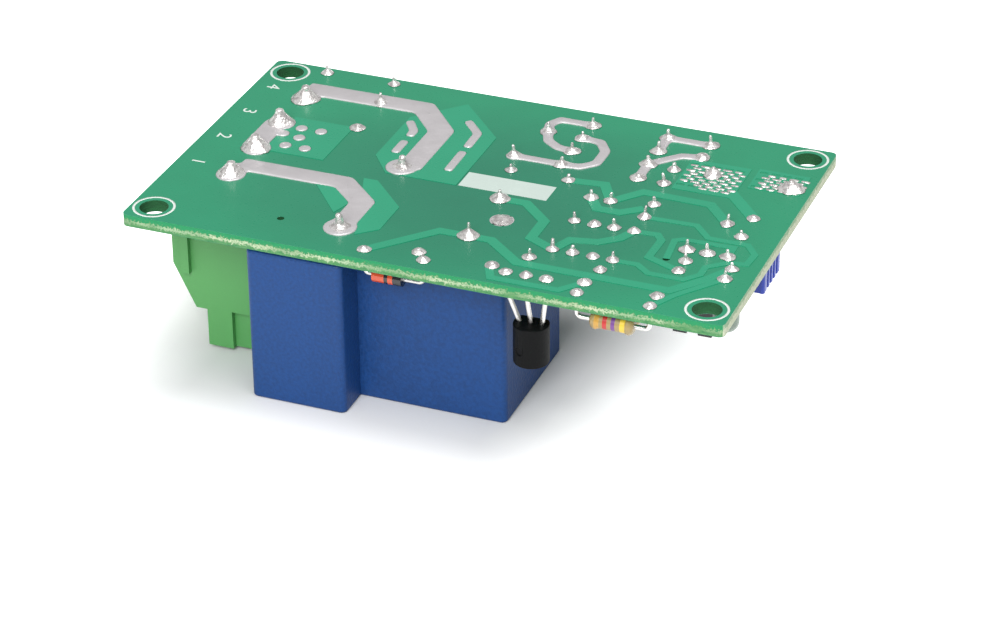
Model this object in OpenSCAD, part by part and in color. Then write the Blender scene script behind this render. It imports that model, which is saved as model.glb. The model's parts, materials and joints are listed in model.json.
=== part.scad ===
/* [Board] */
// Length of the board along X
board_l = 77; // [76.5:0.5:95]
// Width of the board along Y
board_w = 46; // [45.5:0.5:60]
// Thickness of the board
board_t = 1.6; // [1:0.1:2.4]
// Diameter of the mounting holes
hole_d = 3.6; // [2.7:0.1:4]
// Distance of the mounting holes from both edges
hole_inset = 3; // [2.8:0.1:3.4]
// Radius of the board's corners
board_r = 0.8; // [0.4:0.1:2]
// Thickness of copper, tin and lacquer on the board
foil_t = 0.06; // [0.04:0.01:0.14]
// How far trimmed lead ends stand out of the board
lead_stub = 1.2; // [1:0.1:3]

/* [Relay] */
// Overall length of the relay along X
relay_l = 31.8; // [31:0.1:33]
// Width of the wide contact end
relay_w = 28.8; // [28.2:0.1:30]
// Length of the wide contact end
relay_wide_l = 12.6; // [12:0.1:13]
// Width of the narrow coil end
relay_neck_w = 19.2; // [18.8:0.1:20]
// Height of the cover
relay_h = 20.6; // [20.4:0.1:24]
// Height of the feet that hold the base off the board
relay_foot = 0.4; // [0.2:0.1:0.8]
// Wall of the cover
cover_wall = 0.9; // [0.7:0.05:1]
// Thickness of the base
base_t = 2; // [1.6:0.1:2.4]
// Outer diameter of the coil winding
coil_d = 12.4; // [10:0.1:13]
// Diameter of the iron core
core_d = 6; // [4:0.1:6.6]
// Diameter of the pole face
pole_d = 9; // [7:0.1:10]
// Thickness of yoke and armature
iron_t = 1.2; // [0.9:0.05:1.3]
// Gap between the pole face and the released armature
air_gap = 0.9; // [0.8:0.05:1.1]
// Swing of the armature, degrees
arm_swing = 4; // [3:0.1:4.2]
// Diameter of the moving contact
contact_d = 4.4; // [3:0.1:4.6]

/* [Terminal block] */
// Distance between poles
pole_pitch = 7.5; // [7.3:0.1:7.6]
// Height of the block under the board
term_h = 20.5; // [19:0.1:20.6]
// Depth of the block on the board
term_depth = 12.4; // [12:0.1:13.4]
// Depth of the screw towers
tower_depth = 8; // [7.6:0.1:8.4]
// Thread diameter of the terminal screws
screw_d = 4; // [3:0.1:4]
// Head diameter of the terminal screws
head_d = 5.4; // [4.6:0.1:5.6]
// Travel of the clamp plates
clamp_travel = 2.1; // [1:0.1:2.5]

/* [Components] */
// Diameter of the component leads
lead_d = 0.6; // [0.4:0.05:0.7]
// Diameter of the small resistors
resistor_d = 2.3; // [1.6:0.1:2.5]
// Length of the small resistors
resistor_l = 5.4; // [4:0.1:6.4]
// Diameter of the rectifier diodes
rectifier_d = 2.7; // [2:0.1:3.2]
// Length of the rectifier diodes
rectifier_l = 5.2; // [4:0.1:6]
// Diameter of the electrolytic capacitors
can_d = 8; // [6.3:0.1:8]
// Height of the electrolytic capacitors
can_h = 12; // [8:0.5:16]
// Length of the timer chip
chip_l = 9.4; // [9:0.1:9.8]
// Thickness of the timer chip
chip_t = 3.4; // [3:0.1:4]
// Side of the trimmer
trimmer_side = 6.6; // [6.2:0.1:7]
// Height of the trimmer
trimmer_h = 4.9; // [4:0.1:6]
// Diameter of the trimmer rotor
rotor_d = 4.4; // [3:0.1:5]
// Diameter of the LED lenses
led_d = 3; // [2.8:0.1:3.2]
// Height of the jumper cap
cap_h = 6.6; // [5:0.1:7]

/* [Clearances] */
// Gap around pieces that are pushed together
press_gap = 0.02; // [0.01:0.01:0.04]
// Gap around pieces that turn or slide
run_gap = 0.06; // [0.02:0.01:0.09]
// Gap around pieces that are dropped into place
fit_gap = 0.1; // [0.05:0.01:0.15]
// Gap between contacts that are closed
contact_gap = 0.04; // [0.02:0.01:0.08]
// Gap around leads in the board
drill_gap = 0.15; // [0.1:0.01:0.2]

/* [Hidden] */
$fn = 48;
grid = 2.54;
bend_r = 0.6;

// Levels, counted up from the flat top of the relay, which is what the module lies on
z_under = relay_h + relay_foot;
z_top = z_under + board_t;
z_pad = z_top + foil_t;

// Edges of the board
left = -board_l / 2;
right = board_l / 2;
near = -board_w / 2;
far = board_w / 2;

// Terminal block, from the left edge
term_x0 = left + 1.9;
term_x1 = term_x0 + term_depth;
tower_x0 = term_x1 - tower_depth;
screw_x = (tower_x0 + term_x1) / 2;
term_pin_x = screw_x - 2.2;
end_plate = 1.2;
pole_count = 4;
term_y0 = near + 9.1;
pole_ys = [for (i = [0 : pole_count - 1]) term_y0 + end_plate + (i + 0.5) * pole_pitch];
term_y1 = term_y0 + end_plate + pole_count * pole_pitch;
term_bottom = z_under - term_h;
entry_z = z_under - 9.5;
ledge_z = z_under - 15.4;
ledge_in = 1.5;

// Brass bodies of the terminals: a tunnel for the wire, a threaded end and a pin
brass_l = 6.8;
brass_w = 5.6;
brass_wall = 0.6;
brass_top = z_under - 1.4;
tunnel_h = 5.6;
thread_h = 3;
tunnel_top = brass_top - brass_wall;
tunnel_bottom = tunnel_top - tunnel_h;
brass_bottom = tunnel_bottom - thread_h;
brass_x0 = screw_x - brass_l / 2;
term_pin_d = 1.6;
plate_t = 0.8;
plate_l = 5.2;
spigot_d = 1.6;
head_h = 2.2;
head_room = 2.3;
head_z = tunnel_bottom + run_gap - thread_h - clamp_travel - head_room - head_h;
slot_w = 0.9;
slot_h = 1.2;

// Relay, beside the terminal block and along the near edge
relay_x0 = term_x1 + 2;
relay_x1 = relay_x0 + relay_l;
relay_step = relay_x0 + relay_wide_l;
relay_y0 = near + 0.35;
relay_yc = relay_y0 + relay_w / 2;
relay_far = relay_y0 + relay_w;
neck_far = relay_yc + relay_neck_w / 2;
corner_r = 0.8;
base_z = relay_h - base_t;
axis_z = (cover_wall + base_z) / 2;

// Coil, yoke and armature. The armature swings about the inner corner of the yoke's limb
flange_t = 1.1;
flange_w = 2 * 7;
barrel_t = 0.8;
barrel_d = core_d + 2 * barrel_t;
iron_h = 11;
yoke_x0 = relay_x1 - 4.7;
coil_x1 = yoke_x0 - flange_t;
arm_x = relay_step - 3.8;
pole_x = arm_x + air_gap;
pole_t = 1.2;
coil_x0 = pole_x + pole_t + flange_t;
limb_y = relay_yc + flange_w / 2 + 0.2;
arm_y0 = relay_yc - pole_d / 2 - 1.3;
pivot_r = 0.5;
shelf_l = 3;
shelf_t = 1.8;
coil_pin_d = 0.9;
coil_pin_x = yoke_x0 - 1.7;
coil_pin_ys = [relay_yc - 5.1, relay_yc + 5.1];
common_w = 2.4;

// Contacts: a blade on the armature carries the moving contact between two fixed ones
blade_t = 0.3;
blade_h = 5;
blade_x = arm_x - iron_t;
button_t = 1.1;
fixed_t = 0.7;
strip_t = 0.5;
shank_d = 2;
contact_y = relay_y0 + 4.15;
contact_arm = limb_y - contact_y;
open_x = blade_x + button_t + (contact_arm + contact_d / 2) * sin(arm_swing) + contact_gap;
closed_x = blade_x - blade_t - button_t - contact_gap;
rivet_d = 1.2;
rivet_head = [2, 0.3];
rivet_ys = [relay_yc - 1.5, relay_yc + 3.5];
tab_t = 0.6;
tab_z = base_z - 2;
blade_pin = [0.8, 1.6];
open_pin = [open_x, relay_yc - 8.6];
closed_pin = [relay_step - cover_wall - 0.7, relay_yc + 8.5];
closed_y = closed_pin[1] + 1.9;

// Small parts near the relay's coil end and the near edge
drop_small = resistor_d / 2 + 0.3;
transistor_at = [relay_x1 + 4.3, near + 2.7];
transistor_r = 2.2;
transistor_flat = 1.4;
transistor_h = 5.2;
transistor_z = z_under - 4.4;
transistor_pads = [for (i = [-1 : 1]) [transistor_at[0] - 0.8 + i * grid, near + 3.05]];
diode_span = 7.62;
glass_y = near + 2.2;
glass_x = relay_step + 6.2;
glass_body_x = glass_x - 0.7;
glass_l = 3.8;
glass_d = 1.9;
res4_y = near + 3.9;
res4_x = [relay_step + 8.7, relay_x1 - 1.1];
res4_body_x = res4_x[0] + 2.7;
res4_l = 3.4;
res4_d = 1.8;
chip_at = [relay_x1 + 8, near + 13.9];
chip_w = 6.4;
chip_rows = 7.62;
res3_y = near + 7.35;
res3_x = [relay_x1 + 2.3, relay_x1 + 11.2];
bypass_at = [relay_x1 + 5.3, near + 24];
timing_at = [relay_x1 + 11.8, near + 23.3];
can_pitch = 3.5;
flyback_y = neck_far + 2.95;
flyback_x = [relay_x1 - 7.8, relay_x1 - 7.8 + diode_span];

// Small parts counted from the right edge
res_span = 9;
res1_y = near + 1.3;
res2_y = near + 3.9;
res_x1 = right - 9.4;
header_at = [right - 7.16, near + 15.6];
header_w = 2.5;
header_pin = 0.64;
header_reach = header_w + cap_h - 1.2;
cap_w = 2.4;
led_y = near + 11.7;
led_xs = [right - 9, right - 3.25];
led_drop = 0.8;
flange_d = led_d + 0.8;
trimmer_at = [right - 1.3 - trimmer_side / 2, near + 23.35];
trimmer_pads = [[-0.05, -2.44], [-2.59, 0], [-0.05, 2.44]];
rotor_t = 1.2;
rotor_shaft_d = 2;

// Small parts counted from the far edge
bridge_x = [relay_x1 - 2.45, relay_x1 + 7.7];
bridge_ys = [for (i = [0 : 3]) far - 3.65 - i * 1.5 * grid];
filter_at = [right - 15.5, far - 5.5];
ceramic_at = [relay_x1 + 11.15, far - 13.45];
power_y = far - 11.2;
power_x = [right - 12.8, right - 2.64];
power_d = 3.4;
power_l = 7.2;
snub_res_y = far - 1.5;
snub_res_x = [left + 7.7, left + 17.2];
snub_at = [relay_x0 + 1.5, relay_far + 5.8];
snub_size = [4, 10, 8];
snub_pitch = 7.5;
disc_t = 2.6;
bypass_d = 4.6;
ceramic_d = 6;
var_pads = [[relay_x1 - 8.85, far - 15], [relay_x1 - 7.2, far - 7.2]];
var_d = 9.4;
var_t = 3.4;

// Places of every soldered lead: x, y, lead diameter, pad radius, solder height
function joint(p, d, r, h) = [p[0], p[1], d, r, h];
function axial(x, y) = [[x[0], y], [x[1], y]];
function radial_y(at, pitch) = [[at[0], at[1] - pitch / 2], [at[0], at[1] + pitch / 2]];
function radial_x(at, pitch) = [[at[0] - pitch / 2, at[1]], [at[0] + pitch / 2, at[1]]];
small_pad = 0.85;
mid_pad = 1.05;
glass_pads = axial([glass_x - diode_span / 2, glass_x + diode_span / 2], glass_y);
res1_pads = axial([res_x1 - res_span, res_x1], res1_y);
res2_pads = axial([res_x1 - res_span, res_x1], res2_y);
res3_pads = axial(res3_x, res3_y);
res4_pads = axial(res4_x, res4_y);
flyback_pads = axial(flyback_x, flyback_y);
power_pads = axial(power_x, power_y);
snub_res_pads = axial(snub_res_x, snub_res_y);
bridge_pads = [for (y = bridge_ys, x = bridge_x) [x, y]];
chip_pads = [for (row = [-1, 1], i = [0 : 3]) chip_at + [(i - 1.5) * grid, row * chip_rows / 2]];
header_pads = [for (i = [-1 : 1]) header_at + [i * grid, 0]];
led_pads = [for (x = led_xs, s = [-1, 1]) [x, led_y + s * grid / 2]];
trim_pads = [for (p = trimmer_pads) trimmer_at + p];
term_pads = [for (y = pole_ys) [term_pin_x, y]];
coil_pads = [for (y = coil_pin_ys) [coil_pin_x, y]];
filter_pads = radial_y(filter_at, can_pitch);
timing_pads = radial_y(timing_at, can_pitch);
bypass_pads = radial_x(bypass_at, grid);
ceramic_pads = radial_y(ceramic_at, 1.5 * grid);
snub_pads = radial_y(snub_at, snub_pitch);
wire_pads = concat(glass_pads, res1_pads, res2_pads, res3_pads, res4_pads, flyback_pads, snub_res_pads,
    timing_pads, bypass_pads, ceramic_pads, led_pads, trim_pads, transistor_pads);
heavy_pads = concat(bridge_pads, filter_pads, snub_pads, var_pads);
joints = concat([for (p = wire_pads) joint(p, lead_d, small_pad, 0.8)],
    [for (p = chip_pads) joint(p, lead_d, 0.8, 0.8)],
    [for (p = header_pads) joint(p, header_pin * sqrt(2), 0.95, 0.9)],
    [for (p = heavy_pads) joint(p, lead_d, mid_pad, 1)],
    [for (p = power_pads) joint(p, lead_d, 1.3, 1.1)],
    [for (p = coil_pads) joint(p, coil_pin_d, 1.3, 1.3)],
    [for (p = term_pads) joint(p, term_pin_d, 1.9, 1.6)]);
blades = [open_pin, closed_pin];
blade_pad_r = 2.1;
common_at = [yoke_x0 + iron_t / 2, relay_yc];
common_pad_r = 1.5;
via_d = 0.9;
vias = [[relay_x0 + 2.4, near + 5.8], [right - 11.3, near + 12.7]];

// A straight round bar between two points
module bar(a, b, d) {
    v = b - a;
    translate(a) rotate([0, acos(v[2] / norm(v)), atan2(v[1], v[0])]) cylinder(d = d, h = norm(v));
}

// Length that a bend takes off the straight wire on each side of its corner
function unit(v) = v / norm(v);
function bend_cut(a, b, c) = bend_r * tan(acos(unit(b - a) * unit(c - b)) / 2);

// A round bend at the corner b of a wire that comes from a and goes to c
module bend(a, b, c, d) {
    u = unit(b - a);
    v = unit(c - b);
    n = unit(v - (u * v) * u);
    w = cross(u, n);
    o = b - u * bend_cut(a, b, c) + n * bend_r;
    multmatrix([[-n[0], u[0], w[0], o[0]], [-n[1], u[1], w[1], o[1]], [-n[2], u[2], w[2], o[2]],
        [0, 0, 0, 1]])
        rotate_extrude(angle = acos(u * v)) translate([bend_r, 0]) circle(d = d);
}

// A wire bent at each inner point
module wire(points, d) {
    last = len(points) - 1;
    for (i = [0 : last - 1]) {
        along = unit(points[i + 1] - points[i]);
        skip = i == 0 ? 0 : bend_cut(points[i - 1], points[i], points[i + 1]);
        stop = i + 1 == last ? 0 : bend_cut(points[i], points[i + 1], points[i + 2]);
        bar(points[i] + along * skip, points[i + 1] - along * stop, d);
    }
    for (i = [1 : 1 : last - 1]) bend(points[i - 1], points[i], points[i + 1], d);
}

// A cylinder that lies along X
module log_x(x0, x1, y, z, d) {
    translate([x0, y, z]) rotate([0, 90, 0]) cylinder(d = d, h = x1 - x0);
}

// A box between two corners
module box(a, b) {
    translate(a) cube(b - a);
}

// A flat rectangle with round corners, between two corners
module round_rect(a, b, r) {
    translate(a + [r, 0]) square(b - a - [2 * r, 0]);
    translate(a + [0, r]) square(b - a - [0, 2 * r]);
    for (x = [a[0] + r, b[0] - r], y = [a[1] + r, b[1] - r]) translate([x, y]) circle(r);
}

// Half-width of a track at one of its points, square to the path and mitred at corners
function square_to(v) = [-v[1], v[0]] / norm(v);
function side_step(points, i, w) =
    let (last = len(points) - 1,
        before = square_to(points[max(i, 1)] - points[max(i, 1) - 1]),
        after = square_to(points[min(i, last - 1) + 1] - points[min(i, last - 1)]))
    (before + after) / (1 + before * after) * w / 2;

// A flat track of one width along its points
module track(points, w) {
    last = len(points) - 1;
    polygon(concat([for (i = [0 : last]) points[i] + side_step(points, i, w)],
        [for (i = [last : -1 : 0]) points[i] - side_step(points, i, w)]));
}

// Two lead wires of a part that lies along X under the board
module axial_leads(pads, x0, x1, drop) {
    y = pads[0][1];
    z = z_under - drop;
    wire([[pads[0][0], y, z_top + lead_stub], [pads[0][0], y, z], [x0, y, z]], lead_d);
    wire([[pads[1][0], y, z_top + lead_stub], [pads[1][0], y, z], [x1, y, z]], lead_d);
}

// Straight leads down to a level under the board
module drop_leads(pads, z) {
    for (p = pads) translate([p[0], p[1], z]) cylinder(d = lead_d, h = z_top + lead_stub - z);
}

// The body of a small resistor: thicker at both ends
module resistor(x, y, l, d, drop) {
    waist = 0.86;
    bulb = l * 0.24;
    log_x(x - l / 2 + bulb / 2, x + l / 2 - bulb / 2, y, z_under - drop, d * waist);
    for (s = [0, 1]) translate([x - l / 2 + s * (l - bulb), y, z_under - drop]) rotate([0, 90, 0])
        rotate_extrude() polygon([[0, 0], [d * 0.3, 0], [d * 0.44, bulb * 0.18], [d / 2, bulb * 0.42],
            [d / 2, bulb * 0.58], [d * 0.44, bulb * 0.82], [d * 0.3, bulb], [0, bulb]]);
}

// A can with a crimp near its base, a rounded shoulder and a vent scored crosswise in its end, base
// towards the board
module can(at) {
    r = can_d / 2;
    edge = 0.7;
    crimp = 0.35;
    score = [1.5 * (r - edge), 0.4, 0.2];
    translate([at[0], at[1], z_under - fit_gap - can_h]) difference() {
        rotate_extrude() difference() {
            union() {
                square([r - edge, can_h]);
                translate([0, edge]) square([r, can_h - edge]);
                translate([r - edge, edge]) circle(edge);
            }
            translate([r + crimp, can_h - 1.8]) circle(2 * crimp);
            translate([-can_d, -can_h]) square([can_d, 3 * can_h]);
        }
        for (a = [45, 135]) rotate(a) cube([score[0], score[1], 2 * score[2]], center = true);
    }
}

// A coated disc that stands on edge, turned to a direction in degrees
module disc(at, d, t, turn) {
    translate([at[0], at[1], z_under - 1 - d / 2]) rotate([90, 0, turn]) {
        cylinder(d = d - t, h = t, center = true);
        rotate_extrude() intersection() {
            translate([d / 2 - t / 2, 0]) circle(d = t);
            translate([0, -t]) square([d, 2 * t]);
        }
    }
}

module circuit_board() color("seagreen") difference() {
    translate([0, 0, z_under]) linear_extrude(board_t) round_rect([left, near], [right, far], board_r);
    for (sx = [-1, 1], sy = [-1, 1])
        translate([sx * (right - hole_inset), sy * (far - hole_inset), z_under - 1])
            cylinder(d = hole_d, h = board_t + 2);
    for (j = joints) translate([j[0], j[1], z_under - 1]) cylinder(d = j[2] + 2 * drill_gap, h = board_t + 2);
    for (v = vias) translate([v[0], v[1], z_under - 1]) cylinder(d = via_d, h = board_t + 2);
    for (b = blades) blade_hole(b, z_under - 1, z_top + 1, drill_gap);
    box([yoke_x0 - drill_gap, relay_yc - common_w / 2 - drill_gap, z_under - 1],
        [yoke_x0 + iron_t + drill_gap, relay_yc + common_w / 2 + drill_gap, z_top + 1]);
}

// A slot for one of the flat contact pins
module blade_hole(at, z0, z1, gap) {
    size = blade_pin / 2 + [gap, gap];
    box([at[0] - size[0], at[1] - size[1], z0], [at[0] + size[0], at[1] + size[1], z1]);
}

// Tin on the heavy tracks, strips, pads and hatched areas, seen from above
heavy_w = 3.2;
edge_w = 1.15;
thin_w = 1.3;
far_lane = far - 6.7;
near_lane = near + 16.9;
function dash_row(x0, x1, y) = [for (x = [x0 : 1.5 : x1 - 1]) [x, y]];
hatch_left = [right - 16.3, far - 15.1];
hatch_right = [right - 7.5, far - 12.5];

module tin_outline() {
    track([[term_pin_x - 1, far_lane], [relay_step - 5.2, far_lane], [closed_pin[0] + 0.9, far - 12],
        [closed_pin[0] + 0.9, closed_pin[1]]], heavy_w);
    track([[term_pin_x, pole_ys[3]], [term_pin_x, far_lane]], heavy_w);
    track([[term_pin_x, near_lane], [relay_step - 6.7, near_lane], [open_pin[0], near_lane - 4], open_pin],
        heavy_w - 0.2);
    track([[term_pin_x, pole_ys[0]], [term_pin_x, near_lane]], heavy_w);
    track([[term_pin_x - 0.6, pole_ys[1]], [term_pin_x - 0.6, pole_ys[2]]], heavy_w - 0.2);
    for (i = [0 : 2]) translate([term_x1 - 3.1 + (i % 2) * 0.8, pole_ys[1] + 2 + i * 2.5]) circle(0.85);
    for (i = [0, 2]) translate([term_x1 - 0.4, pole_ys[1] + 2 + i * 2.5]) circle(0.85);
    translate([term_x1 - 4.7, pole_ys[1] + 4.9]) circle(0.85);
    track([[relay_step - 5.6, far - 10.7], [relay_step - 4, far - 13.1], [relay_step - 4, far - 14.7]],
        edge_w);
    track([[relay_step - 4, far - 16], [relay_step - 4, far - 19.5]], edge_w);
    track([[relay_step + 1.4, far - 8.1], [relay_step + 3.9, far - 11], [relay_step + 4, far - 15]], edge_w);
    track([[relay_step + 4, far - 16.2], [relay_step + 4.1, far - 21.7]], edge_w);
    track([bridge_pads[0], var_pads[1] + [0.4, 3.6], var_pads[1] + [-0.5, 2], var_pads[1],
        var_pads[1] + [0.9, -2.4], bridge_pads[4] + [-2, 0.3], bridge_pads[4]], thin_w);
    track([bridge_pads[2], bridge_pads[2] + [2.6, -0.3], bridge_pads[2] + [4, -2.5],
        bridge_pads[6] + [4, 1.7], bridge_pads[6] + [2.4, 0.1], bridge_pads[6], var_pads[0]], thin_w);
    track([filter_pads[1], bridge_pads[1], bridge_pads[3]], thin_w);
    track([filter_pads[0], filter_pads[0] + [-2.5, -0.5], bridge_pads[5] + [0.9, 1.1], bridge_pads[5],
        bridge_pads[7]], thin_w);
    for (j = joints) translate([j[0], j[1]]) circle(j[3]);
    for (b = blades) translate(b) circle(blade_pad_r);
    translate(common_at) circle(common_pad_r);
    for (row = [0 : 6]) for (p = dash_row(hatch_left[0] + (row % 2) * 0.6, hatch_left[0] + 7.2,
        hatch_left[1] + row * 0.95))
        translate(p) square([1.05, 0.5]);
    for (row = [0 : 4]) for (p = dash_row(hatch_right[0] + (row % 2) * 0.6, hatch_right[0] + 6,
        hatch_right[1] + row * 0.95))
        translate(p) square([1.05, 0.5]);
}

// Copper under the lacquer, seen from above
module mask_outline() {
    wide = 1.35;
    slim = 0.85;
    polygon([[relay_step - 6, far - 9.6], [relay_step - 6, far - 20.8], [relay_step - 3, far - 24.8],
        [relay_step + 6.5, far - 24.8], [relay_step + 6.5, far - 11.2], [relay_step - 0.4, far - 3.6]]);
    translate([term_pin_x + 1, pole_ys[1]]) square([term_x1 + 3 - term_pin_x - 1, pole_pitch + 2.2]);
    polygon([[relay_step - 4.9, near + 18.9], [relay_step - 3, near + 18.9], [relay_step + 2.2, near + 13.4],
        [relay_step + 2.2, near + 7.4], [relay_step - 0.2, near + 5.2], [relay_step - 2.4, near + 12]]);
    polygon([[relay_step - 9.8, near + 15.4], [relay_step - 6, near + 15.4], [relay_step - 4, near + 12],
        [relay_step - 4.8, near + 9.4]]);
    track([glass_pads[0], [coil_pin_x - 3.7, coil_pin_ys[0]], [coil_pin_x + 2.9, coil_pin_ys[0]],
        [relay_x1 + 1.3, near + 5.6], [res_x1 + 0.9, near + 5.6], [res_x1 + 4.3, near + 9.8], led_pads[3]],
        wide);
    track([coil_pads[1], coil_pads[1] + [3.5, 0], coil_pads[1] + [7.2, -3.6], coil_pads[1] + [7.2, -8],
        chip_pads[0]], wide);
    track([chip_pads[0], chip_pads[0] + [1.2, 2.9], chip_pads[2] + [-0.6, 3.6], chip_pads[7] + [-1, -2.2],
        chip_pads[7]], wide);
    track([chip_pads[7], chip_pads[7] + [2.9, 0.2], chip_pads[7] + [3.8, -1], chip_pads[7] + [3.7, -5.4],
        led_pads[0]], 1);
    track([chip_pads[3], chip_pads[3] + [3, 0.1], led_pads[0] + [-3.2, -1.8], led_pads[0] + [1.2, -1.8],
        led_pads[0] + [2.7, 0], led_pads[1] + [2.7, -0.6], led_pads[3] + [-1, 1.2], led_pads[3] + [1.3, 1.7],
        led_pads[3] + [1.5, 4.2], trim_pads[0] + [1.4, -1.7], trim_pads[0] + [-3.6, -1.7],
        timing_pads[0] + [6.6, 0.2], timing_pads[0]], slim);
    track([vias[1], vias[1] + [-0.5, 4.6], vias[1] + [0.4, 5.2], header_pads[2] + [0, 2.4], header_pads[2]],
        slim);
    track([flyback_pads[1], flyback_pads[1] + [4.6, 0.5], bypass_pads[1]], wide);
    track([bypass_pads[0], bypass_pads[0] + [1.6, -2.4], bypass_pads[1] + [2, -2.4],
        timing_pads[0] + [-0.8, 2]], wide);
    track([bypass_pads[1], bypass_pads[1] + [3, 3.6], trim_pads[1] + [-3.4, 4], trim_pads[1]], wide);
    translate([hatch_left[0] - 0.2, hatch_left[1] - 1.1]) square([7.8, 8.2]);
    translate([hatch_right[0] - 0.3, hatch_right[1] - 0.3]) square([6.6, 5.2]);
    track([power_pads[0] + [3.3, -3.3], trim_pads[2]], 1.6);
    track([transistor_pads[0] + [-2.2, 0.2], transistor_pads[0] + [-1.2, -1.9],
        transistor_pads[2] + [2.2, -1.9], res2_pads[0]], 1);
    track([res1_pads[1], res2_pads[1] + [1.9, 1], led_pads[2]], slim);
}

module tinned_tracks() color("gainsboro") translate([0, 0, z_top]) difference() {
    linear_extrude(foil_t) tin_outline();
    for (j = joints) translate([j[0], j[1], -1]) cylinder(d = j[2] + 2 * drill_gap, h = foil_t + 2);
    for (b = blades) blade_hole(b, -1, foil_t + 1, drill_gap);
    translate([common_at[0], common_at[1], -1]) linear_extrude(foil_t + 2)
        square([iron_t, common_w] + 2 * [drill_gap, drill_gap], center = true);
}

module masked_tracks() color("mediumseagreen") translate([0, 0, z_top]) linear_extrude(foil_t) difference() {
    mask_outline();
    tin_outline();
}

// A fillet of solder with a hollow flank, around a round lead
module fillet(j) {
    lead_r = j[2] / 2 + press_gap;
    translate([j[0], j[1], z_pad]) rotate_extrude() polygon([[lead_r, 0], [j[3] - 0.05, 0],
        [lead_r + (j[3] - lead_r) * 0.5, j[4] * 0.38], [lead_r + 0.12, j[4]], [lead_r, j[4]]]);
}

module solder_joints() color("silver") {
    for (j = joints) fillet(j);
    for (b = blades) difference() {
        translate([b[0], b[1], z_pad]) rotate_extrude()
            polygon([[0, 0], [blade_pad_r - 0.1, 0], [blade_pad_r * 0.66, 0.6], [1.05, 1.5], [0, 1.5]]);
        blade_hole(b, z_top, z_top + 3, press_gap);
    }
    translate([common_at[0], common_at[1], z_pad]) cylinder(r1 = common_pad_r - 0.1, r2 = 1, h = 0.35);
}

// Outline of the relay, drawn in by an inset
module relay_outline(inset) {
    r = max(corner_r - inset, 0.1);
    round_rect([relay_x0 + inset, relay_y0 + inset], [relay_step - inset, relay_far - inset], r);
    round_rect([relay_x0 + inset, relay_yc - relay_neck_w / 2 + inset], [relay_x1 - inset, neck_far - inset],
        r);
}

module relay_cover() color("royalblue") difference() {
    linear_extrude(relay_h) relay_outline(0);
    translate([0, 0, cover_wall]) linear_extrude(relay_h) relay_outline(cover_wall);
}

module relay_base() color("midnightblue") {
    foot_d = 2;
    inset = cover_wall + fit_gap;
    difference() {
        translate([0, 0, base_z]) linear_extrude(base_t) relay_outline(inset);
        for (p = coil_pads) translate([p[0], p[1], base_z - 1])
            cylinder(d = coil_pin_d + 2 * press_gap, h = base_t + 2);
        for (b = blades) blade_hole(b, base_z - 1, relay_h + 1, press_gap);
        box([yoke_x0 - press_gap, relay_yc - common_w / 2 - press_gap, base_z - 1],
            [yoke_x0 + iron_t + press_gap, relay_yc + common_w / 2 + press_gap, relay_h + 1]);
    }
    for (p = [[relay_x0 + 2.6, relay_y0 + 2.6], [relay_x0 + 2.6, relay_far - 2.6],
        [relay_x1 - 2.4, relay_yc - 6.6], [relay_x1 - 2.4, relay_yc + 6.6]])
        translate([p[0], p[1], relay_h]) cylinder(d = foot_d, h = relay_foot);
}

module coil_bobbin() color("ivory") difference() {
    union() {
        for (x = [coil_x0 - flange_t, coil_x1])
            box([x, relay_yc - flange_w / 2, axis_z - flange_w / 2],
                [x + flange_t, relay_yc + flange_w / 2, base_z]);
        log_x(coil_x0 - flange_t, coil_x1 + flange_t, relay_yc, axis_z, barrel_d);
        box([yoke_x0 - shelf_l, relay_yc - flange_w / 2, base_z - shelf_t],
            [yoke_x0, relay_yc + flange_w / 2, base_z]);
    }
    log_x(coil_x0 - 5, yoke_x0 + 1, relay_yc, axis_z, core_d + 2 * press_gap);
    for (p = coil_pads) translate([p[0], p[1], base_z - shelf_t + 0.4])
        cylinder(d = coil_pin_d + 2 * press_gap, h = shelf_t);
}

module coil_winding() color("chocolate") difference() {
    log_x(coil_x0, coil_x1, relay_yc, axis_z, coil_d);
    log_x(coil_x0 - 1, coil_x1 + 1, relay_yc, axis_z, barrel_d + 2 * press_gap);
}

module coil_core() color("dimgray") {
    log_x(pole_x, pole_x + pole_t, relay_yc, axis_z, pole_d);
    log_x(pole_x + pole_t / 2, yoke_x0 + iron_t, relay_yc, axis_z, core_d);
}

module coil_yoke() color("gray") difference() {
    union() {
        box([yoke_x0, relay_yc - 6, axis_z - iron_h / 2],
            [yoke_x0 + iron_t, limb_y + iron_t, axis_z + iron_h / 2]);
        box([arm_x + contact_gap, limb_y, axis_z - iron_h / 2],
            [yoke_x0 + iron_t, limb_y + iron_t, axis_z + iron_h / 2]);
        box([yoke_x0, relay_yc - common_w / 2, axis_z], [yoke_x0 + iron_t, relay_yc + common_w / 2, z_pad]);
    }
    log_x(yoke_x0 - 1, yoke_x0 + iron_t + 1, relay_yc, axis_z, core_d + 2 * press_gap);
    translate([arm_x, limb_y, axis_z - iron_h]) cylinder(r = pivot_r + run_gap, h = 2 * iron_h);
}

module coil_pins() color("silver") for (p = coil_pads)
    translate([p[0], p[1], base_z - shelf_t + 0.4])
        cylinder(d = coil_pin_d, h = z_top + lead_stub - base_z + shelf_t - 0.4);

// A flat iron with a round knuckle to swing on, and two rivets for the blade
module relay_armature() color("gray") {
    h = iron_h - 1;
    head_x = blade_x - blade_t;
    box([blade_x, arm_y0, axis_z - h / 2], [arm_x, limb_y + iron_t, axis_z + h / 2]);
    translate([arm_x, limb_y, axis_z - h / 2]) cylinder(r = pivot_r, h = h);
    for (y = rivet_ys) {
        log_x(head_x - rivet_head[1] / 2, arm_x - iron_t / 2, y, axis_z, rivet_d);
        log_x(head_x - rivet_head[1], head_x, y, axis_z, rivet_head[0]);
    }
}

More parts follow.
